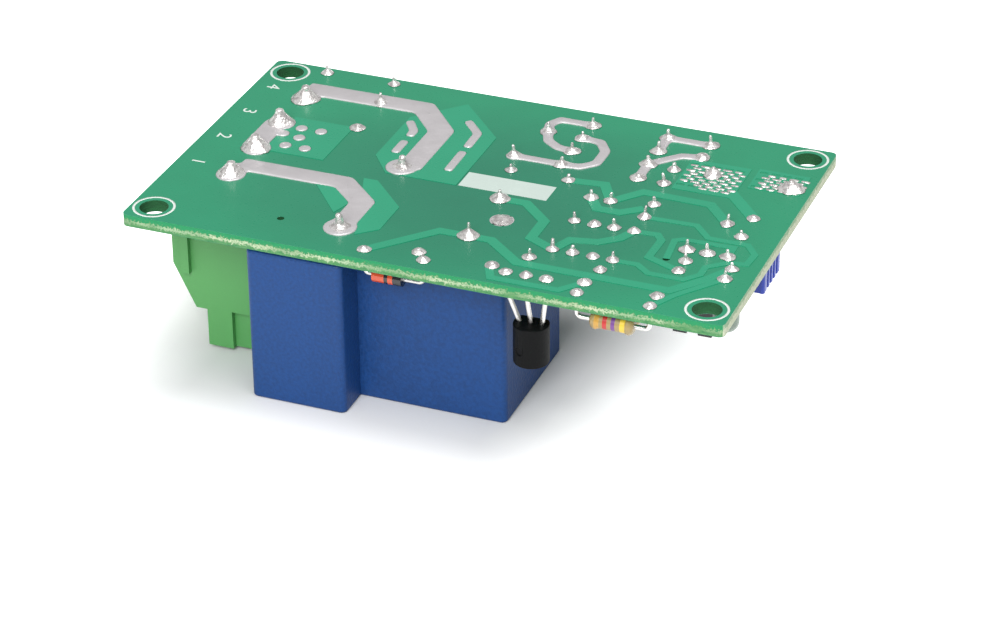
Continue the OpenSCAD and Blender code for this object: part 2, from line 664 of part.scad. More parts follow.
module contact_blade() color("peru") difference() {
    box([blade_x - blade_t, contact_y - contact_d / 2 - 0.2, axis_z - blade_h / 2],
        [blade_x, limb_y - 1, axis_z + blade_h / 2]);
    log_x(blade_x - 1, blade_x + 1, contact_y, axis_z, shank_d + 2 * press_gap);
    for (y = rivet_ys) log_x(blade_x - 1, blade_x + 1, y, axis_z, rivet_d + 2 * press_gap);
}

module moving_contact() color("silver") {
    log_x(blade_x, blade_x + button_t, contact_y, axis_z, contact_d);
    log_x(blade_x - blade_t - button_t, blade_x - blade_t, contact_y, axis_z, contact_d);
    log_x(blade_x - blade_t - button_t / 2, blade_x + button_t / 2, contact_y, axis_z, shank_d);
}

module open_contact() color("goldenrod") {
    x = open_x + fixed_t;
    log_x(open_x, x, contact_y, axis_z, contact_d - 1);
    box([x, contact_y - 2, axis_z - blade_h / 2], [x + strip_t, contact_y + 2, tab_z + tab_t]);
    box([open_pin[0] - blade_pin[0] / 2, contact_y - 2, tab_z],
        [x + strip_t, open_pin[1] + blade_pin[1] / 2, tab_z + tab_t]);
    blade_hole(open_pin, tab_z, z_top + lead_stub + 0.8, 0);
}

module closed_contact() color("goldenrod") {
    x = closed_x - fixed_t;
    log_x(x, closed_x, contact_y, axis_z, contact_d - 1);
    box([x - strip_t, contact_y - 2, axis_z - blade_h / 2], [x, closed_y + strip_t, axis_z + blade_h / 2]);
    box([x - strip_t, closed_y, axis_z - blade_h / 2],
        [closed_pin[0] + blade_pin[0] / 2, closed_y + strip_t, axis_z + blade_h / 2]);
    box([closed_pin[0] - blade_pin[0] / 2, closed_y, axis_z],
        [closed_pin[0] + blade_pin[0] / 2, closed_y + strip_t, tab_z + tab_t]);
    box([closed_pin[0] - blade_pin[0] / 2, closed_pin[1] - blade_pin[1] / 2, tab_z],
        [closed_pin[0] + blade_pin[0] / 2, closed_y + strip_t, tab_z + tab_t]);
    blade_hole(closed_pin, tab_z, z_top + lead_stub + 0.8, 0);
}

// Side profile of the terminal block: a tall wire face, a slope, a ledge and the screw tower
module terminal_profile() polygon([[term_x0, z_under], [term_x0, entry_z], [tower_x0 - ledge_in, ledge_z],
    [tower_x0, ledge_z], [tower_x0, term_bottom], [term_x1, term_bottom], [term_x1, z_under]]);

module terminal_housing() color("mediumseagreen") {
    rib_x = [term_x0 + 1.4, term_x0 + 2.5];
    rib_t = 0.7;
    rib_h = 10.4;
    groove_x = [term_x1 - 4.6, term_x1 - 2];
    entry_w = brass_w - 2 * brass_wall;
    difference() {
        translate([0, term_y1, 0]) rotate([90, 0, 0]) linear_extrude(term_y1 - term_y0) terminal_profile();
        for (y = pole_ys) {
            box([brass_x0 - fit_gap, y - brass_w / 2 - fit_gap, brass_bottom],
                [brass_x0 + brass_l + fit_gap, y + brass_w / 2 + fit_gap, z_under + 1]);
            box([term_x0 - 1, y - entry_w / 2, tunnel_bottom], [brass_x0, y + entry_w / 2, tunnel_top]);
            box([term_x0 - 1, y - brass_w / 2, tunnel_bottom - 0.6],
                [term_x0 + 1.2, y + brass_w / 2, tunnel_top + 0.6]);
            translate([screw_x, y, term_bottom - 1])
                cylinder(d = head_d + 4 * fit_gap, h = brass_bottom - term_bottom + 2);
        }
        box([groove_x[0], term_y0 - 1, term_bottom - 1], [groove_x[1], term_y0 + 0.8, ledge_z + 0.2]);
    }
    box([rib_x[0], term_y0 - rib_t, z_under - rib_h], [rib_x[1], term_y0, z_under]);
}

module terminal_bodies() color("gold") for (y = pole_ys) {
    difference() {
        box([brass_x0, y - brass_w / 2, brass_bottom], [brass_x0 + brass_l, y + brass_w / 2, brass_top]);
        box([brass_x0 - 1, y - brass_w / 2 + brass_wall, tunnel_bottom],
            [brass_x0 + brass_l + 1, y + brass_w / 2 - brass_wall, tunnel_top]);
        translate([screw_x, y, brass_bottom - 1]) cylinder(d = screw_d, h = thread_h + 2);
    }
    translate([term_pin_x, y, brass_top - brass_wall / 2])
        cylinder(d = term_pin_d, h = z_top + lead_stub + 1 - brass_top + brass_wall / 2);
}

// A slotted screw with a spigot for its clamp plate
module terminal_screw(i) color("silver") translate([screw_x, pole_ys[i], 0]) difference() {
    union() {
        translate([0, 0, head_z]) cylinder(d = head_d, h = head_h);
        translate([0, 0, head_z]) cylinder(d = screw_d - 2 * run_gap, h = tunnel_bottom + run_gap - head_z);
        translate([0, 0, head_z]) cylinder(d = spigot_d, h = tunnel_bottom + run_gap + plate_t - head_z);
    }
    translate([-head_d, -slot_w / 2, head_z - 1]) cube([2 * head_d, slot_w, slot_h + 1]);
}

module clamp_plate(i) color("lightgray") translate([screw_x, pole_ys[i], tunnel_bottom + run_gap])
    difference() {
    w = brass_w - 2 * brass_wall - 4 * run_gap;
    translate([-plate_l / 2, -w / 2, 0]) cube([plate_l, w, plate_t]);
    translate([0, 0, -1]) cylinder(d = spigot_d + 2 * run_gap, h = plate_t + 2);
}

module terminal_screw_1() terminal_screw(0);
module terminal_screw_2() terminal_screw(1);
module terminal_screw_3() terminal_screw(2);
module terminal_screw_4() terminal_screw(3);
module clamp_plate_1() clamp_plate(0);
module clamp_plate_2() clamp_plate(1);
module clamp_plate_3() clamp_plate(2);
module clamp_plate_4() clamp_plate(3);

// A round-fronted body with a flat back, in which the mould's ejector left a shallow mark
module transistor_body() color("#222222")
    translate([transistor_at[0], transistor_at[1], transistor_z - transistor_h])
    difference() {
        mark_d = 1;
        mark_t = 0.15;
        mark_turn = -24;
        linear_extrude(transistor_h) intersection() {
            circle(transistor_r);
            translate([-transistor_r, transistor_flat - 2 * transistor_r])
                square([2 * transistor_r, 2 * transistor_r]);
        }
        rotate(mark_turn) translate([0, mark_t - transistor_r, 0.4 * transistor_h]) rotate([90, 0, 0])
            cylinder(d = mark_d, h = 1);
    }

module transistor_leads() color("silver") difference() {
    knee = 1.15;
    for (i = [0 : 2]) {
        p = transistor_pads[i];
        x = transistor_at[0] + (i - 1) * grid / 2;
        translate([p[0], p[1], z_under - 0.6]) cylinder(d = lead_d, h = board_t + lead_stub + 0.6);
        translate([p[0], p[1], z_under - 0.6]) sphere(d = lead_d * knee);
        bar([p[0], p[1], z_under - 0.6], [x, transistor_at[1], transistor_z - 0.6], lead_d);
    }
    translate([transistor_at[0], transistor_at[1], transistor_z - 5]) cylinder(r = 2 * transistor_r, h = 5);
}

glass_drop = glass_d / 2 + 0.5;
rect_drop = rectifier_d / 2 + 0.2;
power_drop = power_d / 2 + 0.5;
res4_drop = res4_d / 2 + 0.3;
bridge_mid = (bridge_x[0] + bridge_x[1]) / 2;
flyback_mid = (flyback_x[0] + flyback_x[1]) / 2;
res_mid = res_x1 - res_span / 2;
res3_mid = (res3_x[0] + res3_x[1]) / 2;
power_mid = (power_x[0] + power_x[1]) / 2;
snub_res_mid = (snub_res_x[0] + snub_res_x[1]) / 2;

module glass_diode() color("orangered")
    log_x(glass_body_x - glass_l / 2, glass_body_x + glass_l / 2, glass_y, z_under - glass_drop, glass_d);

module rectifier(x, y) color("#222222")
    log_x(x - rectifier_l / 2, x + rectifier_l / 2, y, z_under - rect_drop, rectifier_d);
module rectifier_diode_1() rectifier(bridge_mid, bridge_ys[0]);
module rectifier_diode_2() rectifier(bridge_mid, bridge_ys[1]);
module rectifier_diode_3() rectifier(bridge_mid, bridge_ys[2]);
module rectifier_diode_4() rectifier(bridge_mid, bridge_ys[3]);
module flyback_diode() rectifier(flyback_mid, flyback_y);

module resistor_1() color("burlywood") resistor(res_mid, res1_y, resistor_l, resistor_d, drop_small);
module resistor_2() color("burlywood") resistor(res_mid, res2_y, resistor_l, resistor_d, drop_small);
module resistor_3() color("burlywood") resistor(res3_mid, res3_y, resistor_l, resistor_d, drop_small);
module resistor_4() color("burlywood") resistor(res4_body_x, res4_y, res4_l, res4_d, res4_drop);
module power_resistor() color("lightslategray") resistor(power_mid, power_y, power_l, power_d, power_drop);
module snubber_resistor() color("burlywood")
    resistor(snub_res_mid, snub_res_y, resistor_l, resistor_d, drop_small);

module filter_capacitor() color("#223") can(filter_at);
module timing_capacitor() color("#223") can(timing_at);
module bypass_capacitor() color("chocolate") disc(bypass_at, bypass_d, disc_t, 0);
module ceramic_capacitor() color("chocolate") disc(ceramic_at, ceramic_d, disc_t, 90);
module snubber_capacitor() color("gold") translate([0, 0, z_under - fit_gap - snub_size[2]])
    linear_extrude(snub_size[2])
    round_rect([snub_at[0] - snub_size[0] / 2, snub_at[1] - snub_size[1] / 2],
        [snub_at[0] + snub_size[0] / 2, snub_at[1] + snub_size[1] / 2], 0.5);
var_turn = atan2(var_pads[1][1] - var_pads[0][1], var_pads[1][0] - var_pads[0][0]);
module varistor() color("steelblue") disc((var_pads[0] + var_pads[1]) / 2, var_d, var_t, var_turn);

// Leads that drop from the board onto the rim of a disc
module disc_leads(pads, d, t, turn) {
    difference() {
        drop_leads(pads, z_under - 1 - d / 2);
        disc((pads[0] + pads[1]) / 2, d, t, turn);
    }
}

module component_leads() color("silver") {
    axial_leads(glass_pads, glass_body_x - glass_l / 2, glass_body_x + glass_l / 2, glass_drop);
    for (y = bridge_ys) axial_leads(axial(bridge_x, y), bridge_mid - rectifier_l / 2,
        bridge_mid + rectifier_l / 2, rect_drop);
    axial_leads(flyback_pads, flyback_mid - rectifier_l / 2, flyback_mid + rectifier_l / 2, rect_drop);
    for (p = [res1_pads, res2_pads])
        axial_leads(p, res_mid - resistor_l / 2, res_mid + resistor_l / 2, drop_small);
    axial_leads(res3_pads, res3_mid - resistor_l / 2, res3_mid + resistor_l / 2, drop_small);
    axial_leads(res4_pads, res4_body_x - res4_l / 2, res4_body_x + res4_l / 2, res4_drop);
    axial_leads(power_pads, power_mid - power_l / 2, power_mid + power_l / 2, power_drop);
    axial_leads(snub_res_pads, snub_res_mid - resistor_l / 2, snub_res_mid + resistor_l / 2, drop_small);
    drop_leads(concat(filter_pads, timing_pads, snub_pads), z_under - fit_gap);
    drop_leads(led_pads, z_under - led_drop);
    disc_leads(bypass_pads, bypass_d, disc_t, 0);
    disc_leads(ceramic_pads, ceramic_d, disc_t, 90);
    disc_leads(var_pads, var_d, var_t, var_turn);
}

chip_gap = 0.5;
chip_top = z_under - chip_gap;
chip_mid = chip_top - chip_t / 2;
chip_draft = 0.25;
pin_t = 0.25;

module timer_chip() color("#222222") difference() {
    translate([chip_at[0] - chip_l / 2, chip_at[1], 0]) rotate([90, 0, 90]) linear_extrude(chip_l)
        polygon([for (s = [-1, 1], q = [[chip_draft, chip_top], [0, chip_mid + pin_t], [0, chip_mid - pin_t],
            [chip_draft, chip_top - chip_t]])
            let (z = s < 0 ? q[1] : 2 * chip_mid - q[1]) [s * (chip_w / 2 - q[0]), z]]);
    translate([chip_at[0] - chip_l / 2, chip_at[1], chip_top - chip_t - 1]) cylinder(d = 1.6, h = 1.6);
}

module chip_pins() color("silver") for (p = chip_pads) {
    s = p[1] > chip_at[1] ? 1 : -1;
    inner = chip_at[1] + s * chip_w / 2;
    y0 = min(inner, p[1] + s * pin_t / 2);
    y1 = max(inner, p[1] + s * pin_t / 2);
    box([p[0] - 0.7, y0, chip_mid - pin_t / 2], [p[0] + 0.7, y1, chip_mid + pin_t / 2]);
    box([p[0] - 0.7, p[1] - pin_t / 2, chip_mid - pin_t / 2], [p[0] + 0.7, p[1] + pin_t / 2, z_under - 0.2]);
    box([p[0] - 0.24, p[1] - pin_t / 2, z_under - 0.3], [p[0] + 0.24, p[1] + pin_t / 2, z_top + lead_stub]);
}

module header_base() color("#222222") difference() {
    chamfer = 0.4;
    for (p = header_pads) translate([p[0], p[1], z_under - header_w]) linear_extrude(header_w) polygon([
        for (q = [[-1, -1], [1, -1], [1, 1], [-1, 1]], s = [0, 1]) let (flip = q[0] * q[1] > 0 ? s : 1 - s)
            [q[0] * (grid / 2 - (flip == 0 ? 0 : chamfer)),
                q[1] * (header_w / 2 - (flip == 0 ? chamfer : 0))]]);
    for (p = header_pads) translate([p[0], p[1], z_under - header_w - 1])
        linear_extrude(header_w + 2) square(header_pin + 2 * press_gap, center = true);
}

module header_pins() color("goldenrod") for (p = header_pads)
    translate([p[0], p[1], z_under - header_reach]) linear_extrude(z_top + lead_stub - z_under + header_reach)
        square(header_pin, center = true);

cap_x = header_at[0] - grid / 2;
cap_top = z_under - header_w - fit_gap;
clip_t = 0.2;
clip_l = 3.8;

module jumper_cap() color("#1c1c1c") difference() {
    wall = 0.45;
    l = 2 * grid - 0.1;
    notch_w = 1.35;
    notch_h = 0.8;
    well_h = cap_h - 1;
    box([cap_x - l / 2, header_at[1] - cap_w / 2, cap_top - cap_h],
        [cap_x + l / 2, header_at[1] + cap_w / 2, cap_top]);
    box([cap_x - l / 2 + wall, header_at[1] - cap_w / 2 + wall, cap_top - well_h],
        [cap_x + l / 2 - wall, header_at[1] + cap_w / 2 - wall, cap_top + 1]);
    box([cap_x - notch_w / 2, header_at[1] - cap_w, cap_top - cap_h - 1],
        [cap_x + notch_w / 2, header_at[1] + cap_w, cap_top - cap_h + notch_h]);
}

module jumper_clip() color("goldenrod") {
    y = header_at[1] + header_pin / 2 + run_gap;
    l = 2 * grid - 1.2;
    box([cap_x - l / 2, y, cap_top - cap_h + 1], [cap_x + l / 2, y + clip_t, cap_top - cap_h + 1 + clip_l]);
}

trimmer_top = z_under - 0.3;
rotor_z = trimmer_top - trimmer_h;

// A square body with upright ribs on two sides and a round well for the rotor
module trimmer_body() color("mediumblue") difference() {
    half = trimmer_side / 2;
    rib_pitch = 1.2;
    groove = [0.25, 0.6];
    translate([trimmer_at[0], trimmer_at[1], rotor_z]) linear_extrude(trimmer_h) difference() {
        round_rect([-half, -half], [half, half], 0.4);
        for (s = [-1, 1], i = [-1.5 : 1.5])
            translate([s * half, i * rib_pitch]) square([2 * groove[0], groove[1]], center = true);
    }
    translate([trimmer_at[0], trimmer_at[1], rotor_z - 1])
        cylinder(d = rotor_d + 2 * run_gap, h = rotor_t + run_gap + 1);
    translate([trimmer_at[0], trimmer_at[1], rotor_z - 1])
        cylinder(d = rotor_shaft_d + 2 * run_gap, h = 2 * rotor_t + 1.2);
    for (p = trim_pads) translate([p[0], p[1], trimmer_top - 0.8])
        cylinder(d = lead_d + 2 * press_gap, h = 2);
}

module trimmer_rotor() color("white") translate([trimmer_at[0], trimmer_at[1], rotor_z]) difference() {
    union() {
        cylinder(d = rotor_d, h = rotor_t);
        cylinder(d = rotor_shaft_d, h = 2 * rotor_t);
    }
    for (a = [0, 90]) rotate(a) translate([-rotor_d * 0.36, -0.35, -1]) cube([rotor_d * 0.72, 0.7, 1.7]);
}

module trimmer_pins() color("silver") drop_leads(trim_pads, trimmer_top - 0.8);

// A domed lens on a rim, which is cut flat on the side of the negative lead
module led_lens(x) color([0.7, 0.85, 0.75]) translate([x, led_y, z_under - led_drop]) rotate([180, 0, 0])
    difference() {
        rim_h = 1;
        straight = 3.8;
        rim_flat = led_d / 2 + 0.12;
        rotate_extrude() difference() {
            union() {
                square([flange_d / 2, rim_h]);
                square([led_d / 2, straight]);
                translate([0, straight]) circle(d = led_d);
            }
            translate([-flange_d, -flange_d]) square([flange_d, 4 * flange_d]);
        }
        box([-flange_d, rim_flat, -1], [flange_d, flange_d, rim_h + 1]);
    }
module led_lens_1() led_lens(led_xs[0]);
module led_lens_2() led_lens(led_xs[1]);

circuit_board();
masked_tracks();
tinned_tracks();
solder_joints();
relay_cover();
relay_base();
coil_bobbin();
coil_winding();
coil_core();
coil_yoke();
coil_pins();
relay_armature();
contact_blade();
moving_contact();
open_contact();
closed_contact();
terminal_housing();
terminal_bodies();
terminal_screw_1();
terminal_screw_2();
terminal_screw_3();
terminal_screw_4();
clamp_plate_1();
clamp_plate_2();
clamp_plate_3();
clamp_plate_4();
transistor_body();
transistor_leads();
glass_diode();
rectifier_diode_1();
rectifier_diode_2();
rectifier_diode_3();
rectifier_diode_4();
flyback_diode();
resistor_1();
resistor_2();
resistor_3();
resistor_4();
power_resistor();
snubber_resistor();
filter_capacitor();
timing_capacitor();
bypass_capacitor();
ceramic_capacitor();
snubber_capacitor();
varistor();
component_leads();
timer_chip();
chip_pins();
header_base();
header_pins();
jumper_cap();
jumper_clip();
trimmer_body();
trimmer_rotor();
trimmer_pins();
led_lens_1();
led_lens_2();
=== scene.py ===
import json
import math
import random

import bmesh
import bpy
from mathutils import Matrix, Vector


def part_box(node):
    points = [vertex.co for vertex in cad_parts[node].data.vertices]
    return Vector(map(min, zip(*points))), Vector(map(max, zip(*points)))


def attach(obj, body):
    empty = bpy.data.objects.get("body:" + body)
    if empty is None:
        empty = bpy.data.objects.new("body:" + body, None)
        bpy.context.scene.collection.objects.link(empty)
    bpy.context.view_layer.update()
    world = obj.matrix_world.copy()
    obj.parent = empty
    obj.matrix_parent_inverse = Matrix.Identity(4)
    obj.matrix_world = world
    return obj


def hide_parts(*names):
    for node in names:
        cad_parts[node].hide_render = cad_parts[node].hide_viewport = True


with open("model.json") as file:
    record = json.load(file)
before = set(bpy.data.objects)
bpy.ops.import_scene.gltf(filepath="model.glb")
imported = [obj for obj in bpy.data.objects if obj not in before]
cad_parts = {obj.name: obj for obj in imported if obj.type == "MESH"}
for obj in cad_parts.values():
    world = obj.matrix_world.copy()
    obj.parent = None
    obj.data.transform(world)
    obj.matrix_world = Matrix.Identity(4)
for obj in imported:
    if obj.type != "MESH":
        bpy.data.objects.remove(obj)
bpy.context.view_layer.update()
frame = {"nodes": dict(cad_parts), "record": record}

MM = 0.001
NODES = frame["nodes"]
RECORD = frame["record"]
BODY_OF = {node: body for body, nodes in RECORD["behaviour"]["bodies"].items() for node in nodes}
POLES = range(1, 5)
BOARD_LOW, BOARD_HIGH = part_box("circuit_board")
UNDER, TOP = BOARD_LOW[2], BOARD_HIGH[2]
random.seed(7)


# Node maths


class Val:
    """A node socket, so that sums of sockets and numbers read as Python."""

    def __init__(self, tree, socket):
        self.tree, self.socket = tree, socket

    def maths(self, operation, *values):
        """One Math node on sockets and numbers."""
        return self.tree.node("ShaderNodeMath", {"operation": operation}, enumerate(values))

    def __add__(self, other): return self.maths("ADD", self, other)
    def __radd__(self, other): return self.maths("ADD", other, self)
    def __sub__(self, other): return self.maths("SUBTRACT", self, other)
    def __rsub__(self, other): return self.maths("SUBTRACT", other, self)
    def __mul__(self, other): return self.maths("MULTIPLY", self, other)
    def __rmul__(self, other): return self.maths("MULTIPLY", other, self)
    def __truediv__(self, other): return self.maths("DIVIDE", self, other)
    def __rtruediv__(self, other): return self.maths("DIVIDE", other, self)
    def __pow__(self, other): return self.maths("POWER", self, other)
    def __rpow__(self, other): return self.maths("POWER", other, self)
    def __mod__(self, other): return self.maths("FLOORED_MODULO", self, other)
    def __rmod__(self, other): return self.maths("FLOORED_MODULO", other, self)
    def __gt__(self, other): return self.maths("GREATER_THAN", self, other)
    def __lt__(self, other): return self.maths("LESS_THAN", self, other)
    def __abs__(self): return self.maths("ABSOLUTE", self)
    def low(self, other): return self.maths("MINIMUM", self, other)
    def high(self, other): return self.maths("MAXIMUM", self, other)
    def sine(self): return self.maths("SINE", self)
    def clamp(self): return self.high(0.0).low(1.0)


class Tree:
    """A node tree, with one way to add a node: its settings first, then its sockets."""

    def __init__(self, graph):
        self.graph = graph

    def plug(self, slot, value):
        """Links a socket to an input, or sets the input's value."""
        if isinstance(value, Val):
            self.graph.links.new(value.socket, slot)
        else:
            slot.default_value = value

    def add(self, kind, settings=(), sockets=()):
        """A new node."""
        made = self.graph.nodes.new(kind)
        for key, value in dict(settings).items():
            setattr(made, key, value)
        for key, value in dict(sockets).items():
            self.plug(made.inputs[key], value)
        return made

    def node(self, kind, settings=(), sockets=(), out=0):
        """One output of a new node."""
        return Val(self, self.add(kind, settings, sockets).outputs[out])

    def split(self, vector):
        """The X, Y and Z of a vector."""
        parts = self.add("ShaderNodeSeparateXYZ", sockets={0: vector})
        return [Val(self, socket) for socket in parts.outputs]

    def joined(self, x, y, z):
        """The vector of an X, a Y and a Z."""
        return self.node("ShaderNodeCombineXYZ", sockets={"X": x, "Y": y, "Z": z})

    def vector(self, operation, a, b):
        """Two vectors put through one operation."""
        return self.node("ShaderNodeVectorMath", {"operation": operation}, {0: a, 1: b})

    def scaled(self, a, factor):
        """A vector times a number."""
        return self.node("ShaderNodeVectorMath", {"operation": "SCALE"}, {0: a, "Scale": factor})

    def mix(self, factor, a, b):
        """A colour between two others."""
        return self.node("ShaderNodeMix", {"data_type": "RGBA"}, {0: factor, 6: a, 7: b}, out=2)

    def seen(self):
        """One for the rays that show the background: to the camera, and in metal and glass."""
        path = self.add("ShaderNodeLightPath")
        rays = ("Is Camera Ray", "Is Glossy Ray", "Is Transmission Ray")
        camera, glossy, through = (Val(self, path.outputs[key]) for key in rays)
        return camera.high(glossy).high(through)


def tint(red, green, blue):
    """A colour given as 0 to 255, as a linear colour with alpha."""
    return tuple(c / 12.92 if c <= 0.04045 else ((c + 0.055) / 1.055) ** 2.4
                 for c in (red / 255, green / 255, blue / 255)) + (1.0,)


def dim(colour, factor):
    """A colour made darker or lighter."""
    return tuple(min(1.0, c * factor) for c in colour[:3]) + (1.0,)


class Finish(Tree):
    """A material on Object coordinates, in metres, around one Principled shader."""

    def __init__(self, name, **fixed):
        self.material = bpy.data.materials.new(name)
        self.material.use_nodes = True
        super().__init__(self.material.node_tree)
        self.shader = self.graph.nodes["Principled BSDF"]
        for key, value in fixed.items():
            self.shader.inputs[key.replace("_", " ")].default_value = value
        self.at = self.node("ShaderNodeTexCoord", out="Object")
        self.x, self.y, self.z = self.split(self.at)

    def noise(self, size_mm, detail=3.0, stretch=None):
        """Noise of a given grain, from 0 to 1."""
        vector = self.at if stretch is None else self.vector("MULTIPLY", self.at, stretch)
        return self.node("ShaderNodeTexNoise",
                         sockets={"Vector": vector, "Scale": 1 / (size_mm * MM), "Detail": detail})

    def waves(self, axis, pitch_mm):
        """A sine wave along an axis, from -1 to 1."""
        return (axis * (2 * math.pi / (pitch_mm * MM))).sine()

    def put(self, key, value):
        """Sets or links an input of the shader."""
        self.plug(self.shader.inputs[key], value)

    def bump(self, height, depth_mm):
        """Relief from a height of 0 to 1 and its depth."""
        relief = {"Height": height, "Distance": depth_mm * MM, "Strength": 1.0}
        self.put("Normal", self.node("ShaderNodeBump", sockets=relief))


class Rule(Tree):
    """A Geometry Nodes tree with named sizes, which grows pieces on points."""

    def __init__(self, name, sizes):
        super().__init__(bpy.data.node_groups.new(name, "GeometryNodeTree"))
        face = self.graph.interface
        face.new_socket("Points", in_out="INPUT", socket_type="NodeSocketGeometry")
        for key, value in sizes.items():
            kind = "NodeSocketInt" if isinstance(value, int) else "NodeSocketFloat"
            face.new_socket(key, in_out="INPUT", socket_type=kind).default_value = value
        face.new_socket("Finish", in_out="INPUT", socket_type="NodeSocketMaterial")
        face.new_socket("Grown", in_out="OUTPUT", socket_type="NodeSocketGeometry")
        self.given = {s.name: Val(self, s) for s in self.add("NodeGroupInput").outputs if s.name}

    def named(self, name, kind="FLOAT"):
        """A named attribute of the geometry."""
        return self.node("GeometryNodeInputNamedAttribute", {"data_type": kind}, {"Name": name})

    def stored(self, geometry, name, kind, value):
        """The geometry with a named attribute."""
        return self.node("GeometryNodeStoreNamedAttribute", {"data_type": kind, "domain": "POINT"},
                         {"Geometry": geometry, "Name": name, "Value": value})

    def on_points(self, points, piece_grown, **more):
        """A copy of a piece on each point."""
        return self.node("GeometryNodeInstanceOnPoints",
                         sockets={"Points": points, "Instance": piece_grown, **more})

    def end(self, geometry):
        """Ends the tree with real meshes in the given finish."""
        real = self.node("GeometryNodeRealizeInstances", sockets={"Geometry": geometry})
        coated = self.node("GeometryNodeSetMaterial",
                           sockets={"Geometry": real, "Material": self.given["Finish"]})
        self.add("NodeGroupOutput", sockets={0: coated})

    def grow(self, points, **values):
        """The plain mesh that the tree makes from a mesh of points."""
        obj = bpy.data.objects.new("points", points)
        bpy.context.collection.objects.link(obj)
        modifier = obj.modifiers.new("rule", "NODES")
        modifier.node_group = self.graph
        for item in self.graph.interface.items_tree:
            if item.in_out == "INPUT" and item.name in values:
                modifier[item.identifier] = values[item.name]
        return plain_mesh(obj)


# Finishes

# Height of the darker grey band at the solder's foot
FOOT_BAND_HEIGHT = 0.12 * MM
WEAVE_MM = 0.62
FACE_FILM = 0.03 * MM
EDGE_BAND, END_BAND = 0.9 * MM, 0.2 * MM
# Centre and reach of the painted shade, a deeper green, on the board's faces
SHADE_POOL_AT, SHADE_POOL_REACH = (2 * MM, -4 * MM), (36 * MM, 26 * MM)
WIRE_MM = 0.16
CAN_LIP, CAN_END = 0.8 * MM, 0.4 * MM
STRIPE_FROM = 0.72
DASH_WIDTH, DASH_PITCH, DASH_GAP = 0.9 * MM, 2.6 * MM, 0.45


def moulded(name, colour, roughness, grain_mm=0.3, depth_mm=0.012, cloud=0.1, speck=0.4,
            **fixed):
    """Moulded plastic: a fine spark-eroded grain, faint flow clouds and uneven gloss."""
    f = Finish(name, **fixed)
    grain = f.noise(grain_mm, 2.0)
    clouds = f.noise(7.0, 3.0, (1.0, 1.0, 0.5))
    shade = (clouds + (grain - 0.5) * speck).clamp()
    f.put("Base Color", f.mix(shade, dim(colour, 1 - cloud), dim(colour, 1 + cloud)))
    f.put("Roughness", roughness + (grain - 0.5) * 0.16 + (clouds - 0.5) * 0.1)
    f.bump(grain, depth_mm)
    return f.material


def metal(name, colour, roughness, ripple_mm=1.2, depth_mm=0.03, tarnish=0.12, metallic=1.0):
    """Metal with soft ripples, fine scratches and a little tarnish."""
    f = Finish(name, Metallic=metallic)
    ripple = f.noise(ripple_mm, 2.0)
    scratch = f.noise(0.12, 2.0, (1.0, 0.15, 1.0))
    stain = f.noise(2.6, 4.0)
    f.put("Base Color", f.mix(stain, dim(colour, 1 - tarnish), dim(colour, 1 + 0.3 * tarnish)))
    f.put("Roughness", (roughness + (stain - 0.5) * 0.25 + (scratch - 0.5) * 0.12).clamp())
    f.bump(ripple + scratch * 0.1, depth_mm)
    return f.material


def soldered(name):
    """Bright solder, frosted in patches that are also painted darker as a painted dark reflection,
    and greyer in a thin band at its foot where it meets the board.
    """
    f = Finish(name, Metallic=0.7)
    frost_and_painted_reflection = ((f.noise(0.55, 3.0) - 0.5) * 5.0 + 0.45).clamp()
    # Darker grey in a thin band at the foot, where the solder meets the board.
    rim = (1 - (f.z - TOP) / FOOT_BAND_HEIGHT).clamp()
    # Partly painted reflection: the frosted patches are rougher and are also painted darker grey,
    # standing in for dark reflections in the metal.
    skin = f.mix(frost_and_painted_reflection * 0.6, tint(254, 250, 248), tint(150, 140, 140))
    f.put("Base Color", f.mix(rim * 0.4, skin, tint(164, 154, 148)))
    f.put("Roughness", 0.14 + frost_and_painted_reflection * 0.22)
    f.bump(f.noise(0.3, 2.0) + f.noise(0.9, 1.0), 0.09)
    return f.material


def woven(f, colour, drift):
    """Lacquer colour with the laminate's weave faintly telling through, and the weave itself."""
    weave = f.waves(f.x, WEAVE_MM) * f.waves(f.y, WEAVE_MM)
    tone = (drift * 0.8 + weave * 0.06 + 0.1).clamp()
    return f.mix(tone, dim(colour, 0.86), dim(colour, 1.12)), weave


def lacquered(name, colour):
    """Green solder lacquer over copper."""
    f = Finish(name, Coat_Weight=0.25, Coat_Roughness=0.12)
    drift, dust = f.noise(9.0, 3.0), f.noise(0.35, 3.0)
    paint, weave = woven(f, colour, drift)
    f.put("Base Color", paint)
    f.put("Roughness", 0.3 + (dust - 0.5) * 0.16 + (drift - 0.5) * 0.1)
    f.bump(drift * 0.6 + weave * 0.05 + dust * 0.12, 0.03)
    return f.material


